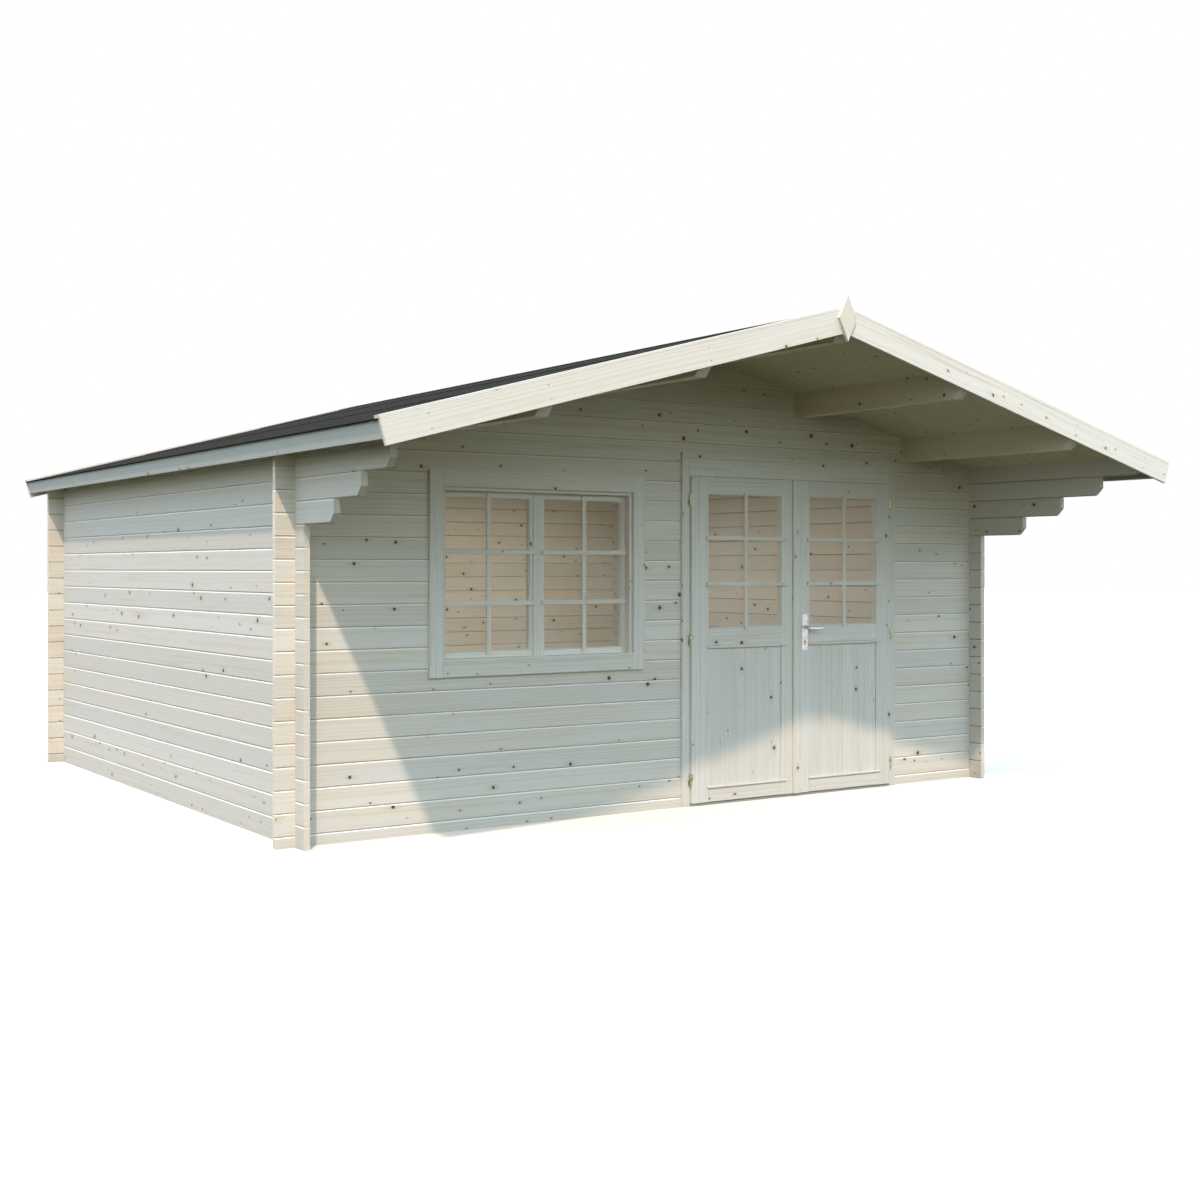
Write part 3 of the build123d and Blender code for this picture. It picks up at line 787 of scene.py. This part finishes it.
# %% [markdown]
# Roofing felt comes in rolls a metre wide. They are laid along the eave first, each next one laps over the
# one below, and a narrow strip folds over the ridge. The lowest edge turns down in a small drip.
# Its finish is crushed slate on bitumen: dark grey, with fine grains of lighter and darker stone. Each
# strip has its own shade, and a little bitumen shows along its lower edge, so a corner stores how far it
# is from that edge and which strip it is on.

# %% Roofing felt
FELT = 0.003
LAP_LIFT = 0.0026
DRIP = 0.0035
FELT_EDGE = 2.6935
FELT_LOW = DECK + SEAT
FELT_STRIPS = ((1.72, FELT_EDGE), (0.78, 1.80), (0.0, 0.86), (0.0, 0.17))


def slate_felt():
    finish = Finish("slate_felt")
    place = finish.place()
    grain = finish.node("TexVoronoi", {"Vector": place, "Scale": 620.0})
    tint, pale, _ = finish.split(grain.output("Color"))
    patch = finish.noise(finish.scaled(place, 1.6), 4.0)
    mottle = finish.noise(finish.scaled(place, 24.0), 3.0)
    bleed = 1.0 - finish.fade(finish.stored("lap_reach") + (mottle - 0.5) * 0.012, 0.004, 0.016)
    shade = finish.chance(finish.stored("strip")) * 0.22
    colour = finish.layered(
        rgb(28, 30, 27), (tint, rgb(48, 49, 45)), (finish.fade(pale, 0.9, 0.97) * 0.5, rgb(84, 85, 81)),
        (finish.fade(patch, 0.35, 0.7) * 0.35, rgb(30, 32, 30)),
        (finish.fade(mottle, 0.5, 0.75) * 0.2 + shade, rgb(54, 55, 51)), (bleed * 0.7, rgb(16, 17, 16)),
    )
    height = 1.0 - grain.output("Distance")
    return finish.surface({
        "Base Color": colour, "Roughness": 0.88 + tint * 0.1, "Normal": finish.bump(0.45, 0.0012, height),
        "Specular IOR Level": 0.04,
    })


def loft(shape, rings):
    """Join rings of points into one closed shape, and give its corners."""
    made = [[shape.verts.new(point) for point in ring] for ring in rings]
    count = len(made[0])
    for near, far in zip(made, made[1:]):
        for i in range(count):
            j = (i + 1) % count
            shape.faces.new((near[i], near[j], far[j], far[i]))
    shape.faces.new(made[0][::-1])
    shape.faces.new(made[-1])
    return made


def closed_mesh(shape, name, material):
    """The mesh of a shape, with all its faces turned outwards."""
    bmesh.ops.recalc_face_normals(shape, faces=shape.faces)
    mesh = bpy.data.meshes.new(name)
    shape.to_mesh(mesh)
    shape.free()
    mesh.materials.append(material)
    return mesh


def felt_profile(number, top, bottom):
    """Corners of a strip, as places down the slope and off it."""
    low = FELT_LOW + number * LAP_LIFT
    high = low + FELT
    lip = [(bottom, low)]
    if bottom == FELT_EDGE:
        lip = [(bottom - FELT, low), (bottom - FELT, low - DRIP), (bottom, low - DRIP)]
    first, last = (top, low), (top, high)
    if top == 0.0:
        first, last = (-low * tan(PITCH), low), (-high * tan(PITCH), high)
    return [first, *lip, (bottom, high), last]


felt_finish = slate_felt()
for label, side in SIDES:
    felt = bmesh.new()
    lap_reach = felt.verts.layers.float.new("lap_reach")
    strip_number = felt.verts.layers.float.new("strip")
    for number, (top, bottom) in enumerate(FELT_STRIPS):
        profile = felt_profile(number, top, bottom)
        rings = [[on_slope(side, *spot, y) for spot in profile] for y in (deck_low.y, deck_high.y)]
        for loop in loft(felt, rings):
            for corner, (along, _) in zip(loop, profile):
                corner[lap_reach] = bottom - along
                corner[strip_number] = number + side * 10.0
    mesh = closed_mesh(felt, label + "_felt_strips", felt_finish)
    piece(label + "_felt_strips", mesh, "shed", "roofing_felt", label + "_roofing_felt")

# %% [markdown]
# Each sash of the window has a lattice of flat bars on the outside, over one pane of glass, with a thin
# bead round the glass. The bars lap over the stiles, and their lower edges throw a small shadow.

# %% Window joinery
BAR = (0.025, 0.010)
BAR_STEP = 0.0015
BAR_EASE = 0.002
BEAD = 0.004
BEAD_EASE = 0.003


def bead_ring(boards, low, high, front):
    """Four beads round a pane, from a depth in front of it to the glass."""
    for x in (low.x, high.x - BEAD):
        upright(boards, x, x + BEAD, front, low.y - SEAT, low.z, high.z, BEAD_EASE)
    for z in (low.z, high.z - BEAD):
        level(boards, low.x + BEAD, high.x - BEAD, front, low.y - SEAT, z, z + BEAD, BEAD_EASE)


def stiles_and_rails(boards, low, high, left, right, rails):
    """Stiles of full height that end at left and right, and rails between them."""
    upright(boards, low.x, left, low.y, high.y, low.z, high.z)
    upright(boards, right, high.x, low.y, high.y, low.z, high.z)
    for z0, z1 in rails:
        level(boards, left + SEAT, right - SEAT, low.y, high.y, z0, z1)


def lattice(boards, x0, x1, z0, z1, face_y, laps, drops, heights):
    """One upright and two level bars, in front of face_y, over the pane from x0, z0 to x1, z1."""
    middle = (x0 + x1) / 2
    half = BAR[0] / 2
    front = face_y - BAR[1]
    upright(boards, middle - half, middle + half, front, face_y, z0 - drops[0], z1 + drops[1], BAR_EASE)
    for z in heights:
        level(
            boards, x0 - laps[0], x1 + laps[1], front - BAR_STEP, face_y, z - half, z + half, BAR_EASE
        )


for node, seed, side, head, sill in (
    ("window_frame", 61.0, 0.030, 0.030, 0.030), ("window_casing", 71.0, 0.079, 0.090, 0.094)
):
    low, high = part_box(node)
    boards = Boards(seed)
    rails = ((high.z - head, high.z), (low.z, low.z + sill))
    stiles_and_rails(boards, low, high, low.x + side, high.x - side, rails)
    board_piece(node + "_boards", boards, "shed", "trim_wood", node)

SASH_DEPTH = 0.036
SASH_LATH = (0.028, 0.0103)
LATH_SHIFT = 0.003
SASH_GAP = 0.002
SASH_BEAD_BACK = 0.004
WINDOW_BARS = (1.1945, 1.4695)
WINDOW_DROPS = (0.016, 0.028)
for label, laps in (("left", (0.020, 0.030)), ("right", (0.015, 0.023))):
    low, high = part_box(label + "_sash")
    glass_low, glass_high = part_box(label + "_sash_glass")
    back = low.y + SASH_DEPTH
    boards = Boards(81.0 if label == "left" else 93.0)
    left, right = glass_low.x - SEAT, glass_high.x + SEAT
    top, foot = glass_high.z + SEAT, glass_low.z - SEAT
    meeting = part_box("right_sash")[0].x - SASH_GAP if label == "left" else high.x
    far = Vector((meeting, back, high.z))
    stiles_and_rails(boards, low, far, left, right, ((low.z, foot), (top, high.z)))
    bead_ring(boards, glass_low, glass_high, low.y + SASH_BEAD_BACK)
    if label == "right":
        lath_x = low.x - LATH_SHIFT
        upright(
            boards, lath_x - SASH_LATH[0] / 2, lath_x + SASH_LATH[0] / 2, back + SEAT, back + SASH_LATH[1],
            low.z, high.z,
        )
    board_piece(label + "_sash_boards", boards, "shed", "trim_wood", label + "_sash")
    boards = Boards(101.0 if label == "left" else 113.0)
    lattice(boards, left, right, foot, top, low.y, laps, WINDOW_DROPS, WINDOW_BARS)
    board_piece(label + "_window_bars", boards, "shed", "trim_wood")

# %% [markdown]
# A door leaf has stiles and rails, a lattice over the glass and vertical boards below. A ledge under the
# panel sheds the rain and another closes its top. All of a leaf rides on the leaf's own body, so it
# swings with the hinge.

# %% Door joinery
low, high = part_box("door_casing")
left_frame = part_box("left_door_frame")
right_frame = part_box("right_door_frame")
HINGE_JOINT = 0.003
HEAD_JOINT = 0.0025
TOP_STRIP = (0.034, 0.005)
CASING_FACE = low.y + TOP_STRIP[1]
JAMBS = (left_frame[0].x - HINGE_JOINT, right_frame[1].x + HINGE_JOINT)
HEAD = left_frame[1].z + HEAD_JOINT
BOARD_TOP = high.z - TOP_STRIP[0]
boards = Boards(121.0)
upright(boards, low.x, JAMBS[0], CASING_FACE, high.y, 0.0, BOARD_TOP)
upright(boards, JAMBS[1], high.x, CASING_FACE, high.y, 0.0, BOARD_TOP)
level(boards, JAMBS[0] + SEAT, JAMBS[1] - SEAT, CASING_FACE, high.y, HEAD, BOARD_TOP)
level(boards, low.x, high.x, low.y, high.y, BOARD_TOP + SEAT, high.z)
board_piece("door_casing_boards", boards, "shed", "trim_wood", "door_casing")

LEDGE = (0.014, 0.006)
LEDGE_EASE = 0.004
TONGUE = 0.0045
PANEL_PITCH = 0.098
PANEL_JOINT = (0.0006, 0.0013)
LEAF_BEAD_BACK = 0.003
DOOR_BARS = (1.289, 1.558)
DOOR_DROPS = (0.014, 0.018)
LATH_EASE = 0.0035
for label, body, seed in (("left", "left_leaf", 131.0), ("right", "right_leaf", 151.0)):
    low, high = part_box(label + "_door_frame")
    glass_low, glass_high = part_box(label + "_door_glass")
    panel_low, panel_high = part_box(label + "_door_panel")
    left, right = glass_low.x - SEAT, glass_high.x + SEAT
    foot, top = glass_low.z - SEAT, glass_high.z + SEAT
    far = high + Vector((TONGUE if label == "left" else 0.0, 0.0, 0.0))
    rails = ((low.z, panel_low.z - SEAT), (panel_high.z + SEAT, foot), (top, high.z))
    boards = Boards(seed)
    stiles_and_rails(boards, low, far, left, right, rails)
    board_piece(label + "_leaf_boards", boards, body, "door_wood", label + "_door_frame")

    count = round((panel_high.x - panel_low.x) / PANEL_PITCH)
    step = (panel_high.x - panel_low.x) / count
    board = (
        axes((panel_low.x + step / 2, panel_low.y, panel_low.z), (0, 0, 1), (1, 0, 0), (0, 1, 0)),
        panel_high.z - panel_low.z, vee_jointed(step, panel_high.y - panel_low.y, PANEL_JOINT),
    )
    row(
        label + "_panel_boards", board, count, (step, 0.0, 0.0), int(seed), planed,
        body, "door_wood", label + "_door_panel",
    )

    boards = Boards(seed + 7.0)
    laps = (0.016, 0.034) if label == "left" else (0.020, 0.032)
    lattice(boards, left, right, foot, top, low.y, laps, DOOR_DROPS, DOOR_BARS)
    bead_ring(boards, glass_low, glass_high, low.y + LEAF_BEAD_BACK)
    for z, proud in ((panel_low.z, LEDGE[1]), (panel_high.z - LEDGE[0], LEDGE[1] / 2)):
        level(
            boards, left - laps[0] / 2, right + laps[1], low.y - proud, low.y, z, z + LEDGE[0], LEDGE_EASE
        )
    board_piece(label + "_leaf_bars", boards, body, "door_wood")

low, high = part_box("meeting_strip")
boards = Boards(171.0)
upright(boards, low.x, high.x, low.y, high.y, low.z, high.z, LATH_EASE)
board_piece("meeting_lath", boards, "right_leaf", "door_wood", "meeting_strip")

# %% [markdown]
# Glass is clear, so it is mostly see-through, with pale patches of painted reflection and a clean gloss.

# %% Glass
def pane_glass():
    finish = Finish("window_glass")
    place = finish.place()
    # Pale patches that are also a little less clear: painted reflection of the sky.
    reflection_patch = finish.noise(finish.scaled(place, 2.2))
    colour = finish.mix(finish.fade(reflection_patch, 0.35, 0.7), rgb(206, 212, 208), rgb(224, 226, 222))
    return finish.surface({
        "Base Color": colour, "Roughness": 0.04, "Alpha": 0.055 + finish.fade(reflection_patch, 0.4, 0.7) * 0.05,
    })


glass = pane_glass()
dress(glass, "left_sash_glass", "right_sash_glass", "left_door_glass", "right_door_glass")
print("four panes glazed")

# %% [markdown]
# Metal pieces are lofted: rings of points joined one to the next. A hinge is two turned barrels on a pin
# with flat leaves, a lock plate is a rounded outline with eased edges, and the lever is a
# round neck that bends into a flat grip. Plated steel is a pale yellow zinc, the furniture is bright.


# %% Metal
def brushed(name, dark, light, metallic, roughness, stretch):
    finish = Finish(name)
    place = finish.split(finish.place())
    lines = finish.noise(finish.vector(*(part * share for part, share in zip(place, stretch))))
    spots = finish.noise(finish.vector(*(part * 60.0 for part in place)))
    colour = finish.mix(finish.fade(spots, 0.35, 0.65), dark, light)
    return finish.surface({
        "Base Color": colour, "Metallic": metallic, "Roughness": roughness + lines * 0.15,
        "Normal": finish.bump(0.08, 0.0004, lines),
    })


zinc = brushed("yellow_zinc", rgb(138, 141, 108), rgb(182, 184, 150), 0.6, 0.4, (300, 300, 60))
bright = brushed("bright_furniture", rgb(180, 184, 186), rgb(212, 214, 215), 0.6, 0.24, (60, 400, 400))
brass = brushed("lock_brass", rgb(150, 118, 58), rgb(190, 158, 88), 0.9, 0.3, (400, 400, 400))
steel = brushed("galvanised_nail", rgb(120, 122, 124), rgb(164, 166, 168), 0.8, 0.45, (500, 500, 500))
dulled = brushed("dulled_nail", rgb(44, 45, 44), rgb(66, 67, 66), 0.5, 0.6, (500, 500, 500))


def circle(centre, first, second, radius, count=20):
    turns = [tau * step / count for step in range(count)]
    return [
        Vector(centre) + (Vector(first) * cos(t) + Vector(second) * sin(t)) * radius for t in turns
    ]


def barrel(metal, x, y, z0, z1, radius):
    """A turned barrel with rounded ends."""
    soft = radius * 0.3
    turns = ((z0, radius - soft), (z0 + soft, radius), (z1 - soft, radius), (z1, radius - soft))
    loft(metal, [circle((x, y, z), *ROUND, r) for z, r in turns])


def outline(x0, x1, z0, z1, corner, inset):
    """A rounded rectangle in X and Z."""
    radius = max(corner - inset, 0.0002)
    points = []
    for x, z, start in ((x1, z0, 270), (x1, z1, 0), (x0, z1, 90), (x0, z0, 180)):
        cx = x - copysign(corner, x - (x0 + x1) / 2)
        cz = z - copysign(corner, z - (z0 + z1) / 2)
        for step in range(0, 91, 18):
            angle = radians(start + step)
            points.append((cx + radius * cos(angle), cz + radius * sin(angle)))
    return points


def plate(metal, x0, x1, z0, z1, back, front, corner):
    """A flat plate with rounded corners and an eased face."""
    ease = 0.25 * abs(front - back)
    towards = copysign(ease, back - front)
    rings = []
    for y, inset in ((back, 0.0), (front + towards, 0.0), (front, ease)):
        rings.append([Vector((x, y, z)) for x, z in outline(x0, x1, z0, z1, corner, inset)])
    loft(metal, rings)


def metal_mesh(metal, name, material):
    mesh = closed_mesh(metal, name, material)
    mesh.polygons.foreach_set("use_smooth", [True] * len(mesh.polygons))
    mesh.set_sharp_from_angle(angle=radians(40.0))
    return mesh


def metal_piece(name, metal, material, body, *where):
    """Add lofted metal to the object."""
    piece(name, metal_mesh(metal, name, material), body, *where)


KNUCKLE = 0.032
KNUCKLE_RADIUS = 0.007
HINGE_Y = left_frame[0].y + 0.004
HINGE_SHARES = (0.072, 0.5, 0.928)
LEAF_LOW = left_frame[0].z
LEAF_TALL = left_frame[1].z - LEAF_LOW
HINGE_PLATE = 0.0025
HINGE_CORNER = 0.002
HINGE_ARM = 0.009
HINGE_LEAF = 0.008
HINGE_FOOT = (0.003, 0.0045)
PIN = (0.002, 0.004)
ROUND = ((1, 0, 0), (0, 1, 0))
screw_points = {"left_leaf": [], "right_leaf": []}
for label, side in SIDES:
    body = label + "_leaf"
    edge = left_frame[0].x if side < 0 else right_frame[1].x
    x = edge + side * (KNUCKLE_RADIUS + SEAT)
    fixed = bmesh.new()
    turning = bmesh.new()
    for share in HINGE_SHARES:
        middle = LEAF_LOW + share * LEAF_TALL
        barrel(fixed, x, HINGE_Y, middle - KNUCKLE, middle - SEAT / 2, KNUCKLE_RADIUS)
        barrel(fixed, x, HINGE_Y, middle - KNUCKLE - HINGE_FOOT[0], middle - KNUCKLE, HINGE_FOOT[1])
        pin_ends = (middle - SEAT, middle + KNUCKLE + PIN[0])
        loft(fixed, [circle((x, HINGE_Y, z), *ROUND, PIN[1], 12) for z in pin_ends])
        plate(
            fixed, *sorted((x, x + side * HINGE_ARM)), middle - KNUCKLE, middle - SEAT / 2,
            CASING_FACE - SEAT, CASING_FACE - HINGE_PLATE - SEAT, HINGE_CORNER,
        )
        plate(
            fixed, x - HINGE_PLATE / 2, x + HINGE_PLATE / 2, middle - KNUCKLE, middle - SEAT / 2,
            CASING_FACE - SEAT, HINGE_Y, HINGE_CORNER / 2,
        )
        face = left_frame[0].y - SEAT
        barrel(turning, x, HINGE_Y, middle + SEAT / 2, middle + KNUCKLE, KNUCKLE_RADIUS)
        plate(
            turning, *sorted((x, edge - side * HINGE_LEAF)), middle + SEAT / 2, middle + KNUCKLE,
            face, face - HINGE_PLATE, HINGE_CORNER,
        )
        screw_points[body].append((edge - side * HINGE_LEAF / 2, face - HINGE_PLATE, middle + KNUCKLE / 2))
    metal_piece(label + "_hinge_posts", fixed, zinc, "shed", "plated_steel", label + "_hinge_pins")
    metal_piece(label + "_hinge_leaves", turning, zinc, body, "plated_steel", label + "_hinge_knuckles")

# %% [markdown]
# The lock has a long plate on each side of the leaf, a lever on a spindle, and a round key cylinder below.

# %% Lock and lever
low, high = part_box("lock_plates")
lever_low, lever_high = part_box("door_lever")
LEVER_X = (low.x + high.x) / 2
LEVER_Z = (lever_low.z + lever_high.z) / 2
LEAF_FACE, LEAF_BACK = right_frame[0].y, right_frame[1].y
PLATE = 0.003
PLATE_CORNER = 0.008
SCREW_INSET = 0.012
ROSE = ((0.0, 0.013), (0.003, 0.013), (0.004, 0.012))
KEY_RING = ((0.0, 0.0085), (0.002, 0.0085), (0.0026, 0.0078))
KEY_Z = LEVER_Z - 0.085
KEY_HALF = 0.005
KEY_TALL = 0.022
KEY_PROUD = 0.0022
KEY_CORNER = 0.0048
SPINDLE = 0.004
FACING = ((1, 0, 0), (0, 0, 1))


def boss(metal, z, front, out_y, steps):
    """A turned boss on a plate, from its lift and radius at each step."""
    loft(metal, [circle((LEVER_X, front + out_y * lift, z), *FACING, radius) for lift, radius in steps])


plates = bmesh.new()
cylinder = bmesh.new()
for face, out_y in ((LEAF_FACE - SEAT, -1.0), (LEAF_BACK + SEAT, 1.0)):
    front = face + out_y * PLATE
    plate(plates, low.x, high.x, low.z, high.z, face, front, PLATE_CORNER)
    boss(plates, LEVER_Z, front, out_y, ROSE)
    boss(cylinder, KEY_Z, front, out_y, KEY_RING)
    plate(
        cylinder, LEVER_X - KEY_HALF, LEVER_X + KEY_HALF, KEY_Z - KEY_TALL, KEY_Z, front,
        front + out_y * KEY_PROUD, KEY_CORNER,
    )
    if out_y < 0:
        for z in (low.z + SCREW_INSET, high.z - SCREW_INSET):
            screw_points["right_leaf"].append((LEVER_X, front, z))
metal_piece("lock_plate_pair", plates, bright, "right_leaf", "handle_metal", "lock_plates")
metal_piece("key_cylinder", cylinder, brass, "right_leaf", "handle_metal")

lever = bmesh.new()
NECK = 0.0075
GRIP = (0.0055, 0.0098)
BEND = 0.016
for face, out_y in ((LEAF_FACE - PLATE - 2 * SEAT, -1.0), (LEAF_BACK + PLATE + 2 * SEAT, 1.0)):
    tip_y = lever_low.y + GRIP[0] if out_y < 0 else lever_high.y - GRIP[0]
    path = [((LEVER_X, face), 0.0, NECK, NECK), ((LEVER_X, tip_y - out_y * BEND), 0.0, NECK, NECK)]
    for turn in (30.0, 60.0, 90.0):
        angle = radians(turn)
        x = LEVER_X + BEND * (1.0 - cos(angle))
        y = tip_y - out_y * BEND * (1.0 - sin(angle))
        share = turn / 90.0
        path.append(((x, y), turn, NECK + (GRIP[0] - NECK) * share, NECK + (GRIP[1] - NECK) * share))
    end_x = lever_high.x
    for x, shrink in ((end_x - 0.05, 1.0), (end_x - 0.012, 0.95), (end_x - 0.004, 0.8), (end_x, 0.45)):
        path.append(((x, tip_y), 90.0, GRIP[0] * shrink, GRIP[1] * shrink))
    rings = []
    for (x, y), turn, wide, tall in path:
        angle = radians(turn)
        flat = Vector((cos(angle), -out_y * sin(angle), 0.0))
        rings.append(circle((x, y, LEVER_Z), flat * wide, (0, 0, tall), 1.0))
    loft(lever, rings)
spindle_ends = (LEAF_FACE - PLATE, LEAF_BACK + PLATE)
loft(lever, [circle((LEVER_X, y, LEVER_Z), *FACING, SPINDLE, 12) for y in spindle_ends])
metal_piece("lever_handle", lever, bright, "lever", "handle_metal", "door_lever")

# %% [markdown]
# Screws and nails are many and small, so each is a low dome with a few dozen faces, put on its points by
# the second tree. Nails hold the bargeboards at the purlins and the felt along its laps.

# %% Screws and nails
SCREW = 0.0032
NAIL = 0.0035
CLOUT = 0.005
DOME = ((0.0, 1.0), (0.5, 1.0), (0.9, 0.7), (1.0, 0.25))
NAIL_RUNS = (0.91, 1.84, 2.46)
NAIL_LIFTS = (-0.005, -0.07)
CLOUT_COUNT = 36
CLOUT_FIRST = 0.12
CLOUT_STEP = 0.156
CLOUT_INSET = 0.03


def heads(name, out, points, radius, material, body):
    """Domed heads that stand out along one direction, one on each point."""
    out = Vector(out).normalized()
    first = out.orthogonal().normalized()
    second = out.cross(first)
    metal = bmesh.new()
    loft(metal, [circle(out * (NAIL_RISE * lift), first, second, radius * r, 10) for lift, r in DOME])
    copied = metal_mesh(metal, name + "_first", steel)
    host = bpy.data.meshes.new(name + "_points")
    host.from_pydata(points, [], [])
    mesh = grown(name, head_tree, host, copied, {"Seed": 1, "Finish": material})
    piece(name, mesh, body, "plated_steel")


for name, body in (("left_hinge_screws", "left_leaf"), ("right_leaf_screws", "right_leaf")):
    heads(name, (0, -1, 0), screw_points[body], SCREW, zinc, body)

front_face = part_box("front_bargeboards")[0].y
rear_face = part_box("rear_bargeboards")[1].y - NAIL_RISE
for label, face_y, out_y in (("front", front_face, -1.0), ("rear", rear_face, 1.0)):
    points = [
        on_slope(side, along, lift, face_y)
        for _, side in SIDES for along in NAIL_RUNS for lift in NAIL_LIFTS
    ]
    heads(label + "_bargeboard_nails", (0, out_y, 0), points, NAIL, steel, "shed")

for label, side in SIDES:
    points = []
    for number, (_, bottom) in enumerate(FELT_STRIPS[1:], 1):
        lift = FELT_LOW + number * LAP_LIFT + FELT
        for step in range(CLOUT_COUNT):
            y = deck_low.y + CLOUT_FIRST + step * CLOUT_STEP
            points.append(on_slope(side, bottom - CLOUT_INSET, lift, y))
    heads(label + "_felt_nails", off(side), points, CLOUT, dulled, "shed")
